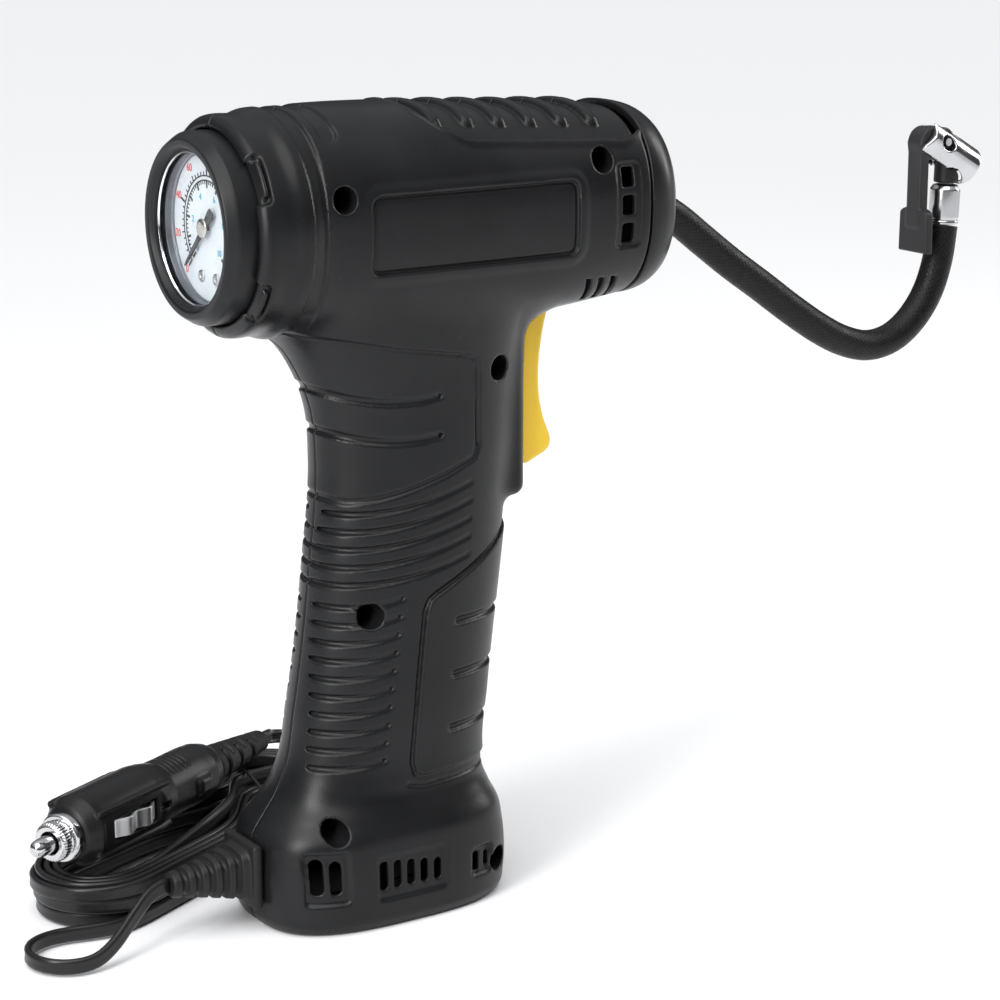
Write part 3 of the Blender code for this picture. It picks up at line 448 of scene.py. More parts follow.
def block(x, y, z, low, high, radius):
    """Rounded box."""
    q = [np.abs(c - (a + b) / 2) - (b - a) / 2 + radius for c, a, b in zip((x, y, z), low, high)]
    out = np.sqrt(sum(np.maximum(d, 0) ** 2 for d in q))
    return out + np.minimum(np.maximum(np.maximum(q[0], q[1]), q[2]), 0) - radius


def line_distance(u, v, points):
    best = np.full(np.broadcast(u, v).shape, 1e9)
    for (au, av), (bu, bv) in zip(points, points[1:]):
        du, dv = bu - au, bv - av
        t = np.clip(((u - au) * du + (v - av) * dv) / (du * du + dv * dv), 0, 1)
        best = np.minimum(best, np.hypot(u - au - t * du, v - av - t * dv))
    return best


def polygon_distance(u, v, points):
    """Distance to a closed outline, negative inside it."""
    inside = np.zeros(np.broadcast(u, v).shape, bool)
    for (au, av), (bu, bv) in zip(points, points[1:] + points[:1]):
        if av != bv:
            crosses = ((av > v) != (bv > v)) & (u < (bu - au) * (v - av) / (bv - av) + au)
            inside = inside ^ crosses
    edge = line_distance(u, v, list(points) + [points[0]])
    return np.where(inside, -edge, edge)


def bend(start, middle, end, count=9):
    """Points on a smooth curve from start through about the middle to end."""
    points = []
    for t in np.linspace(0, 1, count):
        a, b, c = (1 - t) ** 2, 2 * t * (1 - t), t * t
        control = [2 * m - (s + e) / 2 for s, m, e in zip(start, middle, end)]
        points.append(tuple(a * s + b * m + c * e for s, m, e in zip(start, control, end)))
    return points


def sampled(function, low, high, spacing):
    """A plane function read once on a fine grid and looked up between its points."""
    u = np.arange(low[0], high[0], spacing)
    v = np.arange(low[1], high[1], spacing)
    grid = function(u[:, None], v[None, :]) + np.zeros((len(u), len(v)))

    def look_up(a, b):
        a = np.clip((a - low[0]) / spacing, 0, len(u) - 1.001)
        b = np.clip((b - low[1]) / spacing, 0, len(v) - 1.001)
        i, j = a.astype(int), b.astype(int)
        s, t = a - i, b - j
        return ((1 - s) * ((1 - t) * grid[i, j] + t * grid[i, j + 1])
                + s * ((1 - t) * grid[i + 1, j] + t * grid[i + 1, j + 1]))

    return look_up


def net(field, low, high, cell):
    """Closed quad mesh where a field in mm, negative inside, crosses zero (surface nets)."""
    axes = [np.arange(a - 2 * cell, b + 2.5 * cell, cell) for a, b in zip(low, high)]
    values = np.broadcast_to(field(*np.ix_(*axes)), [len(a) for a in axes]).astype(np.float32)
    solid = values < 0
    shape = [n - 1 for n in solid.shape]
    corners = [(i, j, k) for i in (0, 1) for j in (0, 1) for k in (0, 1)]
    count = sum(solid[tuple(slice(c, c + n) for c, n in zip(corner, shape))].astype(np.int8)
                for corner in corners)
    cells = np.argwhere((count > 0) & (count < 8))
    total = np.zeros((len(cells), 3))
    hits = np.zeros(len(cells))
    for corner in corners:
        for axis in range(3):
            if corner[axis]:
                continue
            a = cells + corner
            b = a + np.eye(3, dtype=int)[axis]
            fa, fb = values[tuple(a.T)], values[tuple(b.T)]
            cross = (fa < 0) != (fb < 0)
            point = a.astype(float)
            point[:, axis] += np.where(cross, fa / np.where(cross, fa - fb, 1), 0)
            total += point * cross[:, None]
            hits += cross
    points = total / hits[:, None] * cell + [a[0] for a in axes]
    number = np.full(shape, -1, np.int32)
    number[tuple(cells.T)] = np.arange(len(cells))
    faces = []
    for axis in range(3):
        edges = np.argwhere(solid != np.roll(solid, -1, axis))
        edges = edges[edges[:, axis] < solid.shape[axis] - 1]
        one, two = [k for k in range(3) if k != axis]
        quad = []
        for du, dv in ((0, 0), (-1, 0), (-1, -1), (0, -1)):
            at = edges.copy()
            at[:, one] += du
            at[:, two] += dv
            quad.append(number[tuple(at.T)])
        quad = np.stack(quad, axis=1)
        flip = solid[tuple(edges.T)] ^ (axis == 1)
        quad[flip] = quad[flip][:, ::-1]
        faces.append(quad[:, ::-1])
    return pull(field, points, cell), np.concatenate(faces)


def pull(field, points, cell):
    """Moves points onto the surface, by a part of a cell at most."""
    reach = 0.25 * cell
    for _ in range(2):
        x, y, z = points.T
        here = field(x, y, z)
        slope = np.stack([(field(*(points + d).T) - field(*(points - d).T)) / (2 * reach)
                          for d in np.eye(3) * reach], axis=1)
        move = -here / np.maximum((slope ** 2).sum(1), 0.3)
        length = np.abs(move) * np.linalg.norm(slope, axis=1)
        move *= np.minimum(1, 0.45 * cell / np.maximum(length, 1e-9))
        points = points + slope * move[:, None]
    return points


def field_piece(name, field, low, high, cell, material, body, stands_for=(), matrix=None):
    points, faces = net(field, low, high, cell)
    return add_piece(name, points, faces.tolist(), material, body, stands_for, matrix)


# ---- case

WALL = 2.4
GAUGE_Z = 195.6
SEAM_X = 58.8
HALF_GAP = 0.15
# x, centre height, half width, half height, roundness power
HEAD_SECTIONS = (
    (-65.2, 195.6, 28, 28, 2), (-63.5, 195.6, 28.9, 28.9, 2),
    (-55, 195.6, 29.6, 29.6, 2), (-52.5, 195.6, 30.4, 30.4, 2),
    (-50, 195.6, 30.4, 30.6, 2), (-44.4, 195.5, 28.8, 30.5, 2.2),
    (-36, 195.5, 28.6, 30.7, 2.35), (-8, 195.2, 28.6, 30.6, 2.4),
    (28, 194.2, 28.2, 29.9, 2.4),
    (42, 194.5, 27.8, 29, 2.4), (58.5, 194.9, 27.2, 27.5, 2.4))
# z, centre, half depth, half width, roundness power
GRIP_SECTIONS = (
    (0, -18.5, 36.9, 23.9, 2.9), (2.6, -18.5, 38.2, 25.2, 2.9), (5, -18.5, 38.5, 25.5, 2.9),
    (21, -18.5, 38.5, 25.5, 2.8), (26, -18.3, 37.6, 24.9, 2.7), (31, -17.6, 34.8, 23, 2.5),
    (35.5, -16.7, 32.4, 21.3, 2.35), (41, -15.6, 30.8, 20.4, 2.3), (60, -12.6, 29.8, 19.6, 2.25),
    (100, -7.2, 29.6, 19.4, 2.2), (128, -4.4, 30, 19.4, 2.2), (146, -4.6, 32.2, 19.6, 2.2),
    (158, -6.5, 36, 20.5, 2.2), (168, -9, 41, 22, 2.2), (178, -11, 43, 23, 2.2))
SCREWS = ((-39.6, 204), (42.7, 208.7), (14.8, 152.5), (-26.5, 87.5), (-41, 29), (11.8, 10.8))
# base slots: x, lowest and highest z, half width
BASE_SLOTS = ((-47, 12, 22.2, 1.7), (-42.2, 11.8, 21.4, 1.6), (-28.3, 11.1, 19.4, 1.25),
              (-24, 11.1, 19.1, 1.25), (-19.7, 11.1, 18.5, 1.25), (-15.4, 11, 17.9, 1.2),
              (-11, 10.9, 17.2, 1.15), (2.6, 9.9, 15.7, 1), (6.6, 10.3, 14.9, 0.8))
HEAD_SLOTS_Z = (203.5, 195.8, 188.1)


def superellipse(du, dv, half_u, half_v, power):
    """Signed distance from a rounded section, along the ray from its middle."""
    shape = (np.abs(du / half_u) ** power + np.abs(dv / half_v) ** power) ** (1 / power)
    radius = np.hypot(du, dv)
    return radius * (1 - 1 / np.maximum(shape, 1e-3))


def case_outside(x, y, z):
    """The case's plain outer shape: head, grip and the flanks that guard the trigger."""
    mid, wide, high, power = hermite(HEAD_SECTIONS, x)
    head = superellipse(y, z - mid, wide, high, power)
    head = common(head, np.maximum(HEAD_SECTIONS[0][0] - x, x - SEAM_X + 0.3), 1.2)
    mid, deep, wide, power = hermite(GRIP_SECTIONS, z)
    grip = superellipse(x - mid, y, deep, wide, power)
    grip = common(grip, np.maximum(-z, z - 182), 0.8)
    guard = block(x, y, z, (6, -11.6, 113.6), (27.6, 11.6, 176), 3.4)
    guard = np.maximum(guard, (x - 27.2) * 0.9 + np.maximum(z - 158, 0) * -0.45)
    blend = 5 + 5 * grown(x, 22, 12)
    return union(union(grip, guard, 3.2), head, blend)


def groove(u, v, line, half_width, depth):
    """Round-bottomed groove along a line."""
    near = np.clip(1 - (line_distance(u, v, line) / half_width) ** 2, 0, 1)
    return depth * np.sqrt(near)


def side_depth(x, z):
    """How deep the case is carved at each place seen from the side; raised where negative."""
    depth = head_panels(x, z)
    upper = [(-60, 171), (-43.1, 166), (-32.9, 164.2), (-19.2, 161.3), (-6.9, 159.3),
             (2.1, 157.7), (5.4, 156.3), (6.3, 152.7), (6.6, 132.5), (5.4, 128.9), (-4.1, 125.4),
             (-16.5, 121.9), (-23.1, 120.3), (-30.8, 119.2), (-40, 120.6), (-60, 122)]
    fall = grown(z, 122, 30)
    depth = depth + 0.75 * step(polygon_distance(x, z, upper), 0.8) * fall
    depth = np.maximum(depth, groove(x, z, upper[8:], 0.9, 0.7))
    depth = np.maximum(depth, groove(x, z, upper[:9], 0.7, 0.95))
    for low in (0, 10.9):
        line = bend((-44, 153 - low), (-26.2, 147.3 - low), (-6, 147.2 - low))
        depth = depth + groove(x, z, line, 1.1, 0.9) * (0.5 + 0.5 * step(x + 4, 30))
        depth = np.maximum(depth, groove(x, z, [(-5.6, 147.2 - low), (-5.4, 147.2 - low)], 0.7, 1.8))
    return np.maximum(depth, grip_grooves(x, z)) + finger_panel(x, z) + base_windows(x, z)


def grip_grooves(x, z):
    """Five long curved grooves and ten short ones, each shallower towards the finger side."""
    depth = 0
    for k in range(5):
        line = bend((-33.5 - 0.8 * k, 115.6 - 4.9 * k), (-15.2 - 0.3 * k, 117.4 - 4.95 * k),
                    (4.4 - 0.25 * k, 122 - 5.1 * k))
        fade = np.clip((6 - x) / 34, 0.28, 1)
        depth = np.maximum(depth, groove(x, z, line, 0.85, 1.15) * fade)
    for k in range(10):
        left, right = -36.6 - 0.62 * k, -17.8 - 0.75 * k
        line = bend((left, 89.9 - 5 * k), ((left + right) / 2 + 1, 90.3 - 5 * k),
                    (right, 92 - 5.05 * k))
        fade = np.clip((right + 2 - x) / 17, 0.3, 1)
        depth = np.maximum(depth, groove(x, z, line, 0.85, 1.15) * fade)
        depth = np.maximum(depth, groove(x, z, [line[-1], (right + 0.2, line[-1][1])], 0.5, 1.1))
    return depth


def finger_panel(x, z):
    """Raised panel down the finger side, with its edge line and three finger notches."""
    outline = [(40, 116), (19, 104.8), (13.8, 102), (-7.4, 92.2), (-9.9, 90.6), (-11.2, 87.6),
               (-16.2, 44.6), (-15.6, 41.8), (-13.6, 40.6), (40, 40.6)]
    raised = step(polygon_distance(x, z, outline), 0.7)
    depth = -0.85 * raised
    depth = depth + groove(x, z, outline[:8], 0.6, 0.7)
    depth = depth + groove(x, z, [(-17.6, 38.9), (-13, 37.9), (40, 37.9)], 0.6, 0.55)
    for k in range(3):
        level = 83.2 - 15.4 * k
        start = -0.6 - 1.2 * k
        depth = depth + groove(x, z, [(start, level), (40, level)], 1.25, 1.25)
    return depth


def head_panels(x, z):
    """Recessed blank panel with a soft raised rim, and the recess round the cooling slots."""
    edge = round_rect(x, z, (1, 193.8), (33, 10.6), 3)
    depth = -0.4 * step(edge - 3.6, 2.6) * (1 - step(edge, 0.4)) + 0.55 * step(edge, 0.45)
    depth = depth + 0.45 * step(np.abs(edge + 0.8) - 0.7, 0.5)
    slots = round_rect(x, z, (50.9, 195.8), (4.6, 12.2), 2.2)
    return depth + 0.7 * step(slots, 0.8)


def base_windows(x, z):
    """Bevelled recesses round the slots of the base."""
    depth = 0
    for centre, half in (((-44.4, 16.4), (6.6, 8)), ((-19.4, 14.6), (11.6, 7)),
                         ((4.6, 12.8), (4.6, 4.8))):
        edge = round_rect(x, z, centre, half, 2.2)
        depth = depth + (1.25 if half[0] < 8 else 0.9) * step(edge, 1.5)
    return depth


def top_depth(x, y):
    """Recessed thumb pad with six cross ribs, and the shallow dimple ahead of it."""
    pad = round_rect(x, y, (27, 0), (38, 22.6), 15)
    depth = 1.4 * step(pad, 0.9) - 0.5 * step(np.abs(pad - 0.7) - 0.9, 0.8)
    for k in range(6):
        rib = round_rect(x, y, (-5.6 + 10.15 * k, 0), (2.1, 18), 2)
        depth = depth - 1.7 * np.sqrt(1 - (1 - np.clip(-rib / 1.6, 0, 1)) ** 2)
    dimple = round_rect(x, y, (-39.6, 0), (2.9, 21), 2.8)
    return depth + 0.85 * step(dimple, 0.9)


def collar_depth(x, angle):
    """Chamfered front edge, and the bayonet notches with their raised lugs."""
    depth = 1.5 * grown(-x, 62.6, 2.6)
    for middle, half in ((32, 14.5), (-38, 14.5)):
        edge = round_rect(x, (angle - middle) * 0.5, (-62.6, 0), (2.3, half * 0.5), 1.9)
        depth = depth + 1.5 * step(edge, 0.7)
        lug = round_rect(x, (angle - middle) * 0.5, (-62, 0), (0.95, half * 0.36), 0.9)
        depth = depth - 1.5 * step(lug, 0.6)
    return depth


def carving(maps, x, y, z):
    side, head, top = maps
    above = grown(z, 209.6, 1.8)
    high = grown(z, 172, 2)
    depth = side(x, z) * (1 - high) + head(x, z) * high * (1 - above)
    depth = depth + top(x, y) * above
    angle = np.degrees(np.arctan2(z - GAUGE_Z, np.abs(y)))
    depth = depth + 0.9 * step(np.abs(x + 47.3) - 2.6, 0.5) * grown(z, 168, 6)
    on_collar = grown(-x, 50, 1) * grown(z, 160, 4)
    return depth * (1 - on_collar) + collar_depth(x, angle) * on_collar


def case_field(side, maps):
    """One hollow case half with everything carved out of it."""
    def field(x, y, z):
        plain = case_outside(x, y, z)
        depth = carving(maps, x, y, z)
        solid = plain + depth
        inner = plain + np.maximum(WALL, depth + 1.4) + np.maximum(-43 - x, 0) * 4 * (z > 168)
        solid = less(solid, inner, 0.6)
        solid = union(solid, bosses(x, y, z, side, plain), 0.8)
        solid = less(solid, np.maximum(np.hypot(y, z - GAUGE_Z) - 25.9,
                                       np.maximum(-70 - x, x + 43)), 0.3)
        for hole in openings(x, y, z, side):
            solid = less(solid, hole, 0.35)
        parting = np.maximum(HALF_GAP - side * y, -1)
        return common(solid, parting, 0.25)
    return field


def bosses(x, y, z, side, plain):
    outer = 1e3
    for sx, sz in SCREWS:
        post = np.hypot(x - sx, z - sz) - (5 if side < 0 else 4)
        outer = np.minimum(outer, post)
    return np.maximum(outer, plain + 0.9)


def openings(x, y, z, side):
    """Screw wells, slots, the trigger's slot and the seat of the cord's gland."""
    flank = np.maximum(8 - np.abs(y), -50)
    for sx, sz in SCREWS:
        away = np.hypot(x - sx, z - sz)
        if side < 0:
            yield np.maximum(away - 3.5, y + 4)
            yield away - 1.7
        else:
            yield np.maximum(away - 1.7, y - 11)
    for sx, low, high, half in BASE_SLOTS:
        slot = round_rect(x, z, (sx, (low + high) / 2), (half, (high - low) / 2), half)
        yield np.maximum(slot, flank)
    for sz in HEAD_SLOTS_Z:
        slot = round_rect(x, z, (50.9, sz), (2.1, 2.7), 0.7)
        yield np.maximum(slot, flank)
    for k in range(3):
        across = (x - 41.5 - 4.4 * k) + (z - 172.4) * 0.45
        yield np.maximum(np.maximum(np.abs(across) - 0.9, np.abs(z - 172.4) - 3.4), flank)
    yield block(x, y, z, (12, -7.3, 120.7), (45, 7.3, 168.3), 0.4)
    yield block(x, y, z, (-62, -6.3, 9.7), (-50, 6.3, 22.3), 0.4)


def rear_cap_field(x, y, z):
    sections = ((58.9, 194.9, 27.2, 27.5, 2.4), (62, 194.8, 26.9, 27.2, 2.4),
                (66, 194.6, 25.6, 26, 2.35), (69.4, 194.2, 23, 23.5, 2.3),
                (71.2, 193.9, 20.4, 20.9, 2.25), (72, 193.7, 18, 18.7, 2.2))
    mid, wide, high, power = hermite(sections, x)
    outer = superellipse(y, z - mid, wide, high, power)
    solid = common(outer, np.maximum(59 - x, x - 72), 0.6)
    solid = less(solid, np.maximum(outer + 2.3, x - 69.8), 0.4)
    ring = np.hypot(y, z - 192)
    solid = union(solid, np.maximum(ring - 8.6, np.maximum(60.8 + 7 - x, x - 72.3)), 0.5)
    return less(solid, ring - 5.15, 0.5)


def build_case():
    # The case's lighter edges are edge wear and a painted edge highlight.
    finish = moulded("case_plastic", (0.0065, 0.0067, 0.0073), 0.33, wear_and_edge_highlight=(0.022, 0.022, 0.0235))
    maps = (sampled(side_depth, (-62, 0), (60, 176), 0.25),
            sampled(head_panels, (-62, 170), (60, 230), 0.25),
            sampled(top_depth, (-66, -32), (60, 32), 0.25))
    for name, side, node in (("case_left", 1, "housing_left"), ("case_right", -1, "housing_right")):
        low = (-65.4, -31 if side < 0 else 0, -0.2)
        high = (58.6, 0 if side < 0 else 31, 226.4)
        field_piece(name, case_field(side, maps), low, high, CASE_CELL, finish, "casing",
                    (node,))
    field_piece("case_rear_cap", rear_cap_field, (58.8, -27.6, 164), (72.4, 27.6, 222.4), 0.5,
                finish, "casing", ("rear_cap",))


# ---- turned and extruded shapes

def eased(profile, ease):
    """The closed outline with each corner away from the axis cut by a short curve."""
    made = []
    count = len(profile)
    for i, here in enumerate(profile):
        here = np.array(here, float)
        before, after = (np.array(profile[(i + k) % count], float) for k in (-1, 1))
        if here[0] < 1e-6:
            made.append(here)
            continue
        back, ahead = before - here, after - here
        near = here + back * min(ease / np.linalg.norm(back), 0.4)
        far = here + ahead * min(ease / np.linalg.norm(ahead), 0.4)
        for t in (0, 0.33, 0.67, 1):
            made.append((1 - t) ** 2 * near + 2 * t * (1 - t) * here + t * t * far)
    return made


def lathe(profile, ease=0.25, segments=96, shape=None):
    """Points and faces of a solid of revolution about Z, from (radius, height) points."""
    angles = ring(segments)
    points, rings = [], []
    for radius, height in eased(profile, ease):
        if radius < 1e-6:
            rings.append([len(points)] * segments)
            points.append((0, 0, height))
            continue
        rings.append(list(range(len(points), len(points) + segments)))
        for angle in angles:
            r = radius + (shape(angle, radius, height) if shape else 0)
            points.append((r * math.cos(angle), r * math.sin(angle), height))
    faces = []
    for one, two in zip(rings, rings[1:] + rings[:1]):
        for j in range(segments):
            k = (j + 1) % segments
            face = []
            for p in (one[j], one[k], two[k], two[j]):
                if p not in face:
                    face.append(p)
            if len(face) > 2:
                faces.append(tuple(face))
    return points, faces


def placed(at_mm, along, side=(0, 0, 1)):
    """Matrix that puts local Z along a direction and local X near another."""
    z = Vector(along).normalized()
    x = Vector(side)
    x = (x - z * x.dot(z)).normalized()
    y = z.cross(x)
    turn = Matrix((x, y, z)).transposed().to_4x4()
    return Matrix.Translation(Vector(at_mm) * MM) @ turn


def outward(points, faces):
    """Faces turned over if their solid is inside out."""
    p = np.asarray(points, float)
    volume = 0
    for f in faces:
        for a, b in zip(f[1:], f[2:]):
            volume += np.dot(p[f[0]], np.cross(p[a], p[b]))
    return faces if volume > 0 else [tuple(reversed(f)) for f in faces]


def turned_piece(name, profile, place, material, body, stands_for=(), ease=0.25,
                 segments=96, shape=None):
    points, faces = lathe(profile, ease, segments, shape)
    return add_piece(name, points, outward(points, faces), material, body, stands_for,
                     place, sharp=42)


def local_field(matrix, function):
    """A field in local mm, read at places in the frame."""
    back = matrix.inverted()
    rows = [[back[i][j] for j in range(3)] + [back[i][3] / MM] for i in range(3)]

    def field(x, y, z):
        return function(*(r[0] * x + r[1] * y + r[2] * z + r[3] for r in rows))
    return field


def extruded(flat_distance, across, half, rounding):
    """Flat shape given thickness, with round edges."""
    a = flat_distance + rounding
    b = np.abs(across) - half + rounding
    return np.minimum(np.maximum(a, b), 0) + np.hypot(np.maximum(a, 0), np.maximum(b, 0)) - rounding


# ---- gauge

GAUGE_X = -72                 # where the ring's front stands
DIAL_X = -65.1                  # front of the dial
POINTER_X = -66.4
DIAL_START, DIAL_END = 225, -45


def gauge_place(x):
    """Local X to the left as the dial is read, Y up and Z out of the dial."""
    return placed((x, 0, GAUGE_Z), (-1, 0, 0), (0, -1, 0))


def build_gauge():
    place = gauge_place(GAUGE_X)
    black = moulded("bezel_black", (0.008, 0.0083, 0.009), 0.36)
    wall = bright_metal("gauge_wall", (0.2, 0.215, 0.24), 0.34)
    rim = bright_metal("glass_rim", (0.86, 0.88, 0.9), 0.12)
    glass = surface("gauge_glass", (0.95, 0.98, 1), 0.03, (((40, 1), 0.0001, 0.1),),
                    ((60, 3), 0.02), Alpha=0.07, Transmission_Weight=1)
    for name, material, slot, node, ease, segments, profile in (
            ("gauge_ring", black, "bezel_plastic", ("gauge_bezel",), 0.18, 160, (
                (20.2, -2.4), (20.5, -1.5), (21.3, -0.35), (21.9, -0.05), (23.3, 0), (23.7, -0.3),
                (25.2, -2.6), (25.5, -3.2), (25.5, -12), (24, -12), (24, -2.6))),
            ("gauge_glass", glass, "clear_plastic", ("gauge_lens",), 0.15, 128, (
                (0, -2.75), (21.8, -2.8), (23.4, -3), (23.4, -4.1), (0, -4.1))),
            ("gauge_inner_ring", wall, "alloy", (), 0.12, 128, (
                (19.95, -4.4), (22.6, -4.4), (22.6, -6.8), (19.3, -6.8), (19.3, -6.3), (19.75, -6.1))),
            ("gauge_glass_rim", rim, "chrome", (), 0.08, 128, (
                (19.75, -2.72), (20.05, -2.2), (20.3, -2.45), (20.2, -2.72)))):
        turned_piece(name, profile, place, material, "casing", node, ease, segments)
    keep_node("gauge_dial", surface(
        "dial_white", (0.6, 0.65, 0.68), 0.5, (((2500, 2), 0.00002, 0.3),),
        tint=((140, 3), 0.4, 0.8, (0.54, 0.6, 0.64))))
    print_dial()
    build_pointer()


def dial_angle(share):
    return math.radians(DIAL_START + (DIAL_END - DIAL_START) * share)


def strip(points, faces, angle, low, high, half):
    """Adds a thin raised bar, at an angle round the dial, between two radii."""
    out = np.array((math.cos(angle), math.sin(angle)))
    side = np.array((-out[1], out[0]))
    base = len(points)
    for z in (0.02, 0.12):
        for r, s in ((low, -half), (high, -half), (high, half), (low, half)):
            points.append((*(out * r + side * s), z))
    for f in ((3, 2, 1, 0), (4, 5, 6, 7), (0, 1, 5, 4), (1, 2, 6, 5), (2, 3, 7, 6), (3, 0, 4, 7)):
        faces.append(tuple(base + k for k in f))


def print_dial():
    """Arcs, ticks and plain numbers, raised a hair's breadth from the dial."""
    place = gauge_place(DIAL_X)
    inks = {}
    for name, colour in (("dial_black", (0.012, 0.012, 0.014)), ("dial_red", (0.62, 0.05, 0.06)),
                         ("dial_blue", (0.05, 0.34, 0.5))):
        inks[name] = surface(name, colour, 0.5, Specular_IOR_Level=0.15,
                             tint=((900, 2), 0.5, 0.9, [c * 1.3 + 0.01 for c in colour]))
    points, faces = [], []
    count = 150
    for radius in (13.6, 12.4):
        for k in range(count):
            half = math.pi * 1.5 / count * radius / 2 + 0.02
            strip(points, faces, dial_angle((k + 0.5) / count), radius - 0.2, radius + 0.2, half)
    for k in range(41):
        major, middle = k % 10 == 0, k % 5 == 0
        strip(points, faces, dial_angle(k / 40), 13.6, 16.2 if major else 15.2 if middle else 14.7,
              0.3 if major else 0.18)
    for k in range(51):
        major = k % 5 == 0
        strip(points, faces, dial_angle(k / 50), 10.4 if major else 11.4, 12.4, 0.34 if major else 0.17)
    add_piece("dial_ticks", points, faces, inks["dial_black"], "casing",
              (), place, smooth=False)
    numbers(place, "dial_numbers_outer", range(0, 161, 20), 17.7, 3, inks["dial_red"])
    numbers(place, "dial_numbers_inner", range(0, 11, 2), 8.6, 2.5, inks["dial_blue"])
    steel = bright_metal("dial_screw", (0.55, 0.56, 0.58), 0.3)
    for name, side in (("dial_screw_left", 1), ("dial_screw_right", -1)):
        at = Vector((DIAL_X, -4.1 * side, GAUGE_Z - 13.2))
        turned_piece(name, ((0, 0.15), (0.5, 0.2), (0.6, 0.5), (1.1, 0.55), (1.55, 0.4), (1.7, 0.03),
                            (0, 0.03)), placed(at, (-1, 0, 0)), steel, "casing", (), 0.08, 40)


def numbers(place, name, values, radius, size, material):
    """Upright numbers spaced evenly round the dial."""
    points, faces = [], []
    for value in values:
        data = bpy.data.curves.new(name, "FONT")
        data.body = str(value)
        data.size = size
        data.align_x, data.align_y = "CENTER", "CENTER"
        data.extrude = 0.05
        data.offset = 0.02
        data.resolution_u = 3
        holder = bpy.data.objects.new(name, data)
        mesh = bpy.data.meshes.new_from_object(holder)
        angle = dial_angle(value / values[-1])
        base = len(points)
        for v in mesh.vertices:
            points.append((v.co.x + radius * math.cos(angle), v.co.y + radius * math.sin(angle),
                           v.co.z + 0.08))
        faces += [tuple(base + k for k in p.vertices) for p in mesh.polygons]
        bpy.data.meshes.remove(mesh)
        bpy.data.objects.remove(holder)
        bpy.data.curves.remove(data)
    add_piece(name, points, faces, material, "casing", (), place, smooth=False)


def build_pointer():
    place = gauge_place(POINTER_X)
    rest = math.radians(DIAL_START)
    ink = surface("pointer_black", (0.006, 0.006, 0.0065), 0.4, (), ((300, 2), 0.08),
                  ((500, 2), 0.5, 0.8, (0.012, 0.012, 0.013)), Specular_IOR_Level=0.15)

    def needle(u, v, w):
        a = u * math.cos(rest) + v * math.sin(rest)
        b = -u * math.sin(rest) + v * math.cos(rest)
        half = np.interp(a, (-6.6, -5.4, -1.5, 0, 14.5, 16.2), (1.35, 1.55, 1, 0.85, 0.42, 0.05))
        flat = np.maximum(np.abs(b) - half, np.abs(a - 4.8) - 11.3)
        hub = np.maximum(np.hypot(a, b) - 0.8, np.abs(w + 3.2) - 3.4)
        return np.minimum(extruded(flat, w, 0.3, 0.12), hub)

    field_piece("pointer_needle", local_field(place, needle), (-66.8, -12.5, GAUGE_Z - 12.5),
                (-59.6, 12.5, GAUGE_Z + 7.5), 0.16, ink, "pointer",
                ("gauge_pointer",))
    cap = bright_metal("pointer_cap", (0.6, 0.58, 0.55), 0.28)
    turned_piece("pointer_hub", ((0, 1.15), (1.7, 1.1), (2.5, 0.85), (2.7, 0.4), (0, 0.4)),
                 place, cap, "pointer", (), 0.2, 48)


# ---- trigger and gland

def build_trigger():
    back = 25.5
    outline = ([(back, 121.4), (31, 121.4), (37.4, 123.4)]
               + bend((39, 124.6), (39.9, 127.2), (38.9, 130.6), 7)
               + bend((38, 132.4), (35.2, 146.6), (38.2, 164), 15) + [(38.5, 167.6), (back, 167.6)])
    flat = sampled(lambda x, z: polygon_distance(x, z, outline), (18, 114), (46, 174), 0.2)

    def field(x, y, z):
        crown = np.maximum(x - 31, 0) * (y / 7) ** 2 * 0.16
        blade = extruded(flat(x, z) + crown, y, 7, 1.5)
        blade = less(blade, np.maximum(np.maximum(np.abs(y) - 5.4, np.abs(z - 144.5) - 20.5), x - 29), 0.4)
        push = block(x, y, z, (20.6, -3, 131), (30, 3, 138), 0.5)
        rib = block(x, y, z, (25.6, -5.8, 150), (30, 5.8, 151.6), 0.3)
        return union(np.minimum(blade, rib), push, 0.6)

    yellow = surface("trigger_yellow", (0.85, 0.55, 0.028), 0.36, (((2400, 3), 0.00005, 0.4),),
                     ((70, 3), 0.06), ((60, 3), 0.4, 0.8, (0.77, 0.48, 0.022)), Specular_IOR_Level=0.4)
    field_piece("trigger_blade", field, (20.2, -7.2, 121), (40.4, 7.2, 168), 0.45, yellow,
                "trigger", ("trigger",))


def build_gland():
    rubber = moulded("relief_rubber", (0.009, 0.009, 0.0095), 0.5, 0.00008, 1800)
    def field(x, y, z):
        w = z - 16
        half = table(x, ((-82, 3.5), (-79.5, 3.9), (-74, 4.9), (-68, 6), (-63, 7),
                         (-60.5, 7.6)))
        power = np.interp(x, (-82, -74, -60.5), (2, 2.4, 4.2))
        cone = (np.abs(y) ** power + np.abs(w) ** power) ** (1 / power) - half
        for k in range(5):
            wave = np.clip(1 - ((x + 78.6 - 3.7 * k) / 0.95) ** 2, 0, 1)
            cone = cone + 1.25 * np.sqrt(wave) * grown(x, -81.5, 2)
        cone = common(cone, np.maximum(-82 - x, x + 57), 0.8)
        flange = block(x, y, w, (-60.6, -9.2, -9.2), (-57.7, 9.2, 9.2), 1.1)
        seat = block(x, y, w, (-58.5, -5.9, -5.9), (-54, 5.9, 5.9), 0.6)
        return union(union(cone, flange, 0.8), seat, 0.3)

    field_piece("cord_gland", field, (-82.4, -9.6, 6.4), (-53.6, 9.6, 25.6), 0.36, rubber, "casing",
                ("cord_boot",))
    return rubber


# ---- plug

def plug_place():
    """Local Z runs back from the plug's tip, X across it and Y down."""
    return placed(PLUG_TIP, HANK_DIR, HANK_SIDE)


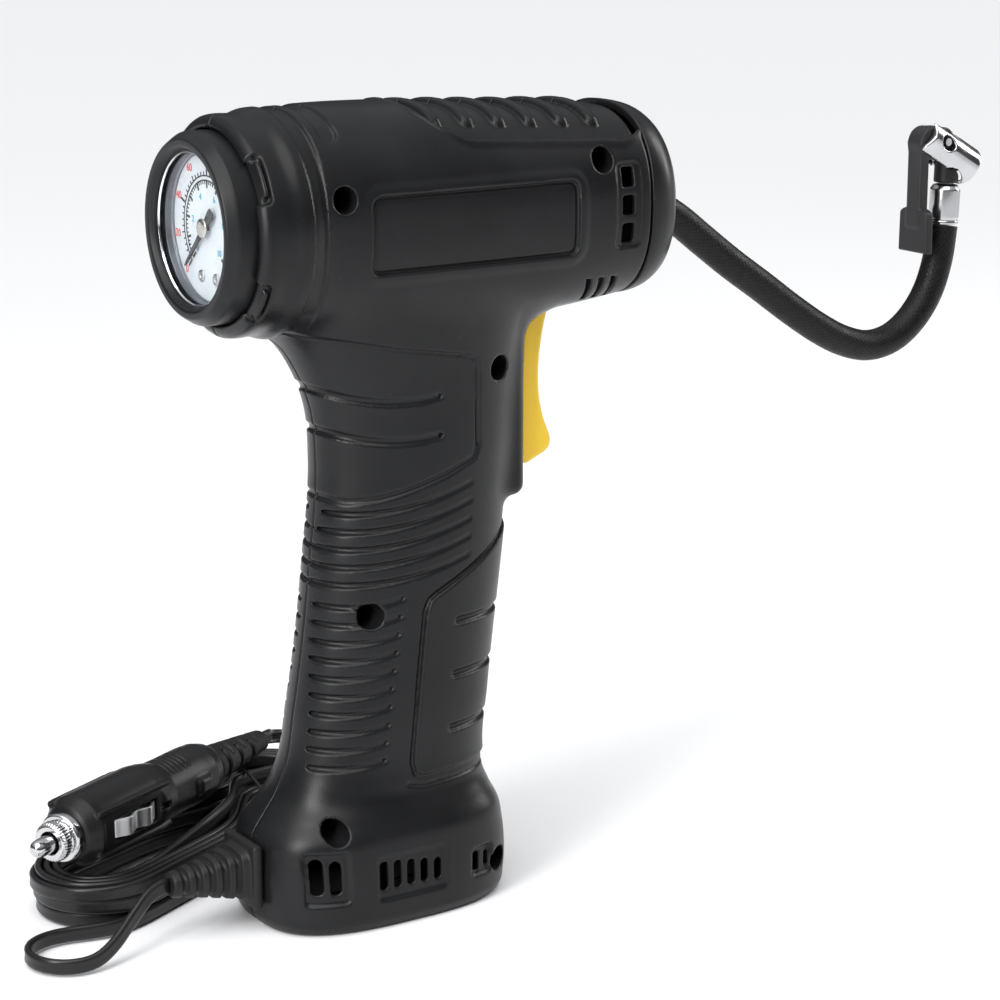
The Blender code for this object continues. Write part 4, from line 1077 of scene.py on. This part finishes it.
def plug_shell_field(u, v, s):
    radius = table(s, ((14.2, 6.6), (15, 8), (18.6, 10.2), (21, 10.4), (46, 10.4), (50, 9.9),
            (54, 9), (60, 8.8), (70, 8.9), (75, 8.6), (78.5, 7.6), (80, 6.8)))
    body = np.hypot(u, v) - radius
    flat_side = np.abs(u) - np.interp(s, (16, 20, 46, 50), (12, 9.6, 9.6, 12))
    body = common(body, flat_side, 0.8)
    for turn in (0.62, -0.62):
        for mirror in (1, -1):
            a = np.abs(np.arctan2(v * mirror, np.abs(u)) - turn)
            ridge = np.maximum(a * 9 - 0.7, np.abs(s - 35) - 18.5)
            body = body - 0.75 * np.clip(-ridge / 0.7, 0, 1) ** 0.5 * np.clip((10.6 - radius) < 0.9, 0, 1)
    wing = block(u, v, s, (-10.3, -2.4, 64), (10.3, 2.4, 70.5), 1.6)
    body = union(body, wing, 1.2)
    body = common(body, np.maximum(14 - s, s - 80), 0.7)
    for k in range(6):
        rib = round_rect(s, np.abs(v), (54.6 + 1.9 * k, 8), (0.5, 2.4), 0.45)
        body = body + 0.5 * np.clip(-rib / 0.4, 0, 1) * (np.abs(u) < 6)
    slot = np.maximum(round_rect(s, v, (47.5, 0), (2.2, 0.9), 0.9), 8.4 - np.abs(u))
    body = less(body, slot, 0.3)
    window = np.maximum(round_rect(s, v, (34, 0), (10, 3.4), 0.8), 5.5 - np.abs(u))
    body = less(body, window, 0.4)
    return less(body, np.maximum(np.hypot(u, v) - np.where(s < 39, 5.6, 7), s - 77), 0.2)


def plug_relief_field(u, v, s):
    radius = np.interp(s, (80.3, 86, 98, 108), (6.4, 6, 4.7, 3.6))
    body = np.sqrt(u * u + (v * 1.12) ** 2) - radius
    angle = np.arctan2(v, u)
    for k in range(6):
        across = np.cos(2 * angle + math.pi * (k % 2))
        notch = np.clip(1 - ((s - 84.4 - 3.5 * k) / 0.85) ** 2, 0, 1) ** 0.5
        body = body + 1.1 * notch * np.clip(across * 4 + 2.4, 0, 1)
    return common(body, np.maximum(80.3 - s, s - 108), 0.7)


def contact_field(side):
    def field(u, v, s):
        out = u * side
        t = s - 34
        line = 9.2 + 1.5 * np.exp(-((np.abs(t) - 4.5) / 2.6) ** 2) - 0.8 * (t / 9.2) ** 4
        sheet = np.abs(out - line) - 0.45
        flat = np.maximum(np.abs(v) - 2.75, np.abs(t) - 9.2)
        return common(sheet, flat, 0.35)
    return field


def build_plug():
    place = plug_place()
    black = moulded("plug_plastic", (0.007, 0.007, 0.0075), 0.36, 0.00005, 2400)
    pad = np.array((11.5, 11.5, 11))
    field_piece("plug_shell", local_field(place, plug_shell_field), PLUG_TIP + HANK_DIR * 14 - pad,
                PLUG_TIP + HANK_DIR * 80 + pad, 0.42, black, "casing",
                ("plug_body",))
    rubber = moulded("plug_rubber", (0.008, 0.008, 0.0085), 0.55, 0.00008, 1800)
    field_piece("plug_relief", local_field(place, plug_relief_field), PLUG_TIP + HANK_DIR * 80 - 7,
                PLUG_TIP + HANK_DIR * 108.5 + 7, 0.4, rubber, "casing", ("plug_boot",))
    chrome = bright_metal("plug_chrome", (0.6, 0.6, 0.61), 0.16)

    def knurl(angle, radius, height):
        return 0.22 * abs(math.sin(18 * angle)) if 5 < radius < 5.9 and height < 10.3 else 0

    turned_piece("plug_collar", (
        (3.3, 7), (4.7, 6.9), (5.2, 7.5), (5.5, 7.9), (5.5, 10.1), (4.9, 10.4), (5.4, 10.9), (6.6, 11),
        (7, 11.5), (7, 13.7), (5, 13.7), (5, 24), (4, 24), (4, 12), (3.3, 11)),
        place, chrome, "casing", ("plug_nose_ring",), 0.25, 144, knurl)
    turned_piece("plug_tip", ((0, 0), (0.9, 0.08), (1.6, 0.42), (2.2, 1.1), (2.5, 2), (2.6, 3.2), (2.6, 11.6),
                              (3.5, 12.4), (3.5, 14), (0, 14)), place, chrome, "plug_tip",
                 ("plug_pin",), 0.3, 64)
    spring = bright_metal("contact_spring", (0.84, 0.84, 0.85), 0.36)
    for side, word in ((1, "left"), (-1, "right")):
        field = local_field(place, contact_field(side))
        middle = PLUG_TIP + HANK_DIR * 34 + HANK_SIDE * side * 9.2
        field_piece("contact_strip_" + word, field, middle - (10.5, 8, 3.4), middle + (10.5, 8, 3.4),
                    0.3, spring, "contact_" + word, ("plug_contact_" + word,))


def build_tie(rubber):
    """Loop of plastic-covered wire drawn tight round the bundle, twisted at one side."""
    round_bundle = ((-11, 5.4), (-11.1, 9.4), (-10.7, 14.2), (-7.8, 18), (-4.1, 20.4), (-1.2, 20.5),
                    (4, 18.6), (9, 16.3), (10.9, 13.8), (11.1, 8), (10.8, 3), (9, 1),
                    (4, 0.8), (-4, 0.8), (-9, 1), (-10.9, 3), (-11.4, 5.6))
    loop = []
    for k, (across, up) in enumerate(round_bundle):
        lean = 1.6 * k / (len(round_bundle) - 1) - 0.8
        loop.append(hank_place(TIE_AT + lean, across, up))
    ends = [hank_place(a, c, h, loop[-1]) for a, c, h in (
        (0.9, -1.2, 0.8), (1.6, -1.9, 1.9), (0.5, -2.6, 2.4), (-0.7, -2.2, 1.2), (-0.3, -1.2, -0.2),
        (0.9, -1.9, -0.8), (1.9, -3.2, -0.3), (2.3, -4.6, 0.6))]
    path = smooth_path(loop + ends, 0.5)
    angles = ring(12)
    section = TIE_RADIUS * np.stack([np.cos(angles), np.sin(angles)], axis=1)
    points, faces = sweep(path, lambda run: section, HANK_DIR)
    add_piece("hank_tie", points, faces, rubber, "casing", ("cord_tie",))


# ---- chuck

FERRULE_BASE = np.array((190, 0, 176.2))
FERRULE_DIR = np.array((0.04, 0, 1)) / math.hypot(0.04, 1)
CHUCK_CENTRE = np.array((190.2, 0, 198.2))
CHUCK_DIR = np.array((0.87, 0, -0.493)) / math.hypot(0.87, 0.493)
LEVER_PIVOT = np.array((186.2, 0, 202.4))


def valve_chuck_field(u, v, s):
    """Cross tube in local mm: s along it towards its mouth, u up across it, v sideways."""
    radius = np.hypot(u, v)
    lip = np.interp(u, (-6, -3, 1, 4, 6.2), (-10.4, -10, -8.6, -9.4, -12.2)) - 2.8 * (v > 0)
    tube = common(radius - 6.2, np.maximum(lip - s, s - 9.8), 0.8)
    tube = less(tube, np.maximum(radius - 5, 0.6 - s), 0.3)
    tube = less(tube, block(u, v, s, (-9, -3.8, -20), (9, 3.8, -0.8), 0.3), 0.3)
    window = np.hypot((s + 5.3) / 1.3, u - 1.4) - 2.3
    return less(tube, np.maximum(window, 3 - np.abs(v)), 0.3)


def lever_field(x, y, z):
    px, pz = LEVER_PIVOT[0], LEVER_PIVOT[2]
    cam = extruded(np.hypot(x - px, z - pz) - 4.3, y, 3.4, 0.5)
    head = extruded(np.hypot(x - 182.2, z - 202) - 5, y, 3.4, 0.7)
    joined = union(cam, head, 1.6)
    arm = block(x, y, z, (177.2, -3.2, 176), (180.9, 3.2, 203), 0.9)
    rib = block(x, y, z, (180, -1.1, 180.5), (182.6, 1.1, 200), 0.5)
    half = np.interp(z, (168.4, 180.4, 181.2, 182.2), (6.5, 6.3, 5.6, 3.6))
    pad = extruded(np.maximum(np.abs(y) - half, np.abs(z - 175.2) - 6.8), x - 179, 1.55, 0.8)
    joined = union(union(joined, arm, 0.8), union(pad, rib, 0.6), 0.7)
    return less(joined, np.hypot(x - px, z - pz) - 1.5, 0.2)


def build_chuck():
    chrome = bright_metal("chuck_chrome", (0.55, 0.55, 0.56), 0.17)
    place = placed(FERRULE_BASE, FERRULE_DIR, (0, -1, 0))

    def crimp(angle, radius, height):
        seam = math.exp(-((angle - 0.5) / 0.07) ** 2) if angle < math.pi else 0
        return -0.35 * seam if radius > 4 else 0

    turned_piece("hose_collar", ((0, 12.6), (2.6, 12.6), (3.9, 12.2), (4.7, 11), (4.7, 2.2), (4.5, 1.9),
                                 (4.5, 1.4), (4.7, 1.1), (4.7, 0.3), (0, 0.3)),
                 place, chrome, "casing", ("hose_ferrule",), 0.3, 144, crimp)
    place = placed(CHUCK_CENTRE, CHUCK_DIR, (0.493, 0, 0.87))
    whole_tube = local_field(place, valve_chuck_field)
    bore = local_field(place, lambda u, v, s: np.maximum(np.hypot(u, v) - 5.2, 0.5 - s))
    start = FERRULE_BASE + FERRULE_DIR * 13

    def neck_place(x, y, z):
        """Distance along the neck and away from its middle."""
        x, z = x - start[0], z - start[2]
        return (x * FERRULE_DIR[0] + z * FERRULE_DIR[2],
                np.hypot(x * FERRULE_DIR[2] - z * FERRULE_DIR[0], y))

    def tube(x, y, z):
        along, away = neck_place(x, y, z)
        return less(whole_tube(x, y, z), np.maximum(away - 4.7, along - 6.4), 0.3)

    # Black core round the neck: the plastic insert, and also painted shade in the neck under the tube.
    def core(x, y, z):
        along, away = neck_place(x, y, z)
        neck = common(away - 3.8, np.maximum(-along, along - 8), 0.4)
        return less(less(neck, bore(x, y, z)), tube(x, y, z) - 0.05)

    field_piece("valve_chuck", tube, (174.5, -6.5, 186.5), (202.6, 6.5, 212.6),
                0.36, chrome, "casing", ("chuck_body",))
    # Dark finish of the core: black plastic, and painted shade for the neck under the tube.
    dark = moulded("chuck_core_and_neck_shade", (0.01, 0.01, 0.0105), 0.45)
    field_piece("chuck_core_and_neck_shade", core, (185, -4.4, 188.6), (196.5, 4.4, 198), 0.36, dark, "casing")
    black = moulded("lever_plastic", (0.02, 0.02, 0.021), 0.42, 0.00007, 2200)
    field_piece("thumb_lever", lever_field, (175, -8.1, 168.2), (191.3, 8.1, 207.2), 0.36, black,
                "lever", ("chuck_lever",))


# ---- pieces kept from the CAD

def keep_node(name, material):
    """Gives a CAD node a better material."""
    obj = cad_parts[name]
    obj.data.materials.clear()
    obj.data.materials.append(material)


def finish_kept_nodes():
    steel = bright_metal("turned_steel", (0.56, 0.56, 0.57), 0.28)
    zinc = bright_metal("cast_alloy", (0.6, 0.61, 0.62), 0.42)
    brass = bright_metal("turned_brass", (0.72, 0.5, 0.19), 0.28)
    screw = bright_metal("screw_black", (0.05, 0.05, 0.052), 0.4)
    nylon = moulded("gear_nylon", (0.7, 0.69, 0.64), 0.45)
    dark = moulded("inner_plastic", (0.03, 0.03, 0.032), 0.5)
    seal = moulded("seal_rubber", (0.012, 0.012, 0.012), 0.65)
    ferrite = moulded("magnet_ferrite", (0.06, 0.058, 0.056), 0.6, 0.0001, 1500)
    hose = surface("inner_hose", (0.7, 0.72, 0.73), 0.3, (), ((120, 3), 0.08),
                   ((80, 3), 0.4, 0.8, (0.6, 0.63, 0.65)))
    glass = surface("fuse_glass", (0.85, 0.88, 0.88), 0.08, (), ((90, 2), 0.04),
                    ((120, 2), 0.5, 0.8, (0.7, 0.73, 0.72)))
    looks = (
        (steel, "motor_can crank_pin gear_axle lever_pin valve_spring trigger_spring plug_pin_spring "
                "motor_pinion"),
        (zinc, "gauge_case cylinder cylinder_head drive_bracket motor_rotor"),
        (brass, "gauge_stem bourdon_tube hose_barb gear_bush outlet_valve"),
        (screw, " ".join("case_screw_%d" % k for k in range(1, 7))),
        (nylon, "drive_gear"), (ferrite, "motor_magnet_left motor_magnet_right"),
        (dark, "motor_end_cap con_rod switch_body switch_plunger"),
        (seal, "chuck_seal piston_cup"), (hose, "air_tube"), (glass, "plug_fuse"))
    for material, names in looks:
        for name in names.split():
            keep_node(name, material)


# ---- making it

add_camera()
lead, lead_path = supply_cord()
hose, hose_path = air_hose()
studio()
build_case()
build_gauge()
build_trigger()
cord_rubber = build_gland()
build_plug()
build_tie(cord_rubber)
build_chuck()
finish_kept_nodes()
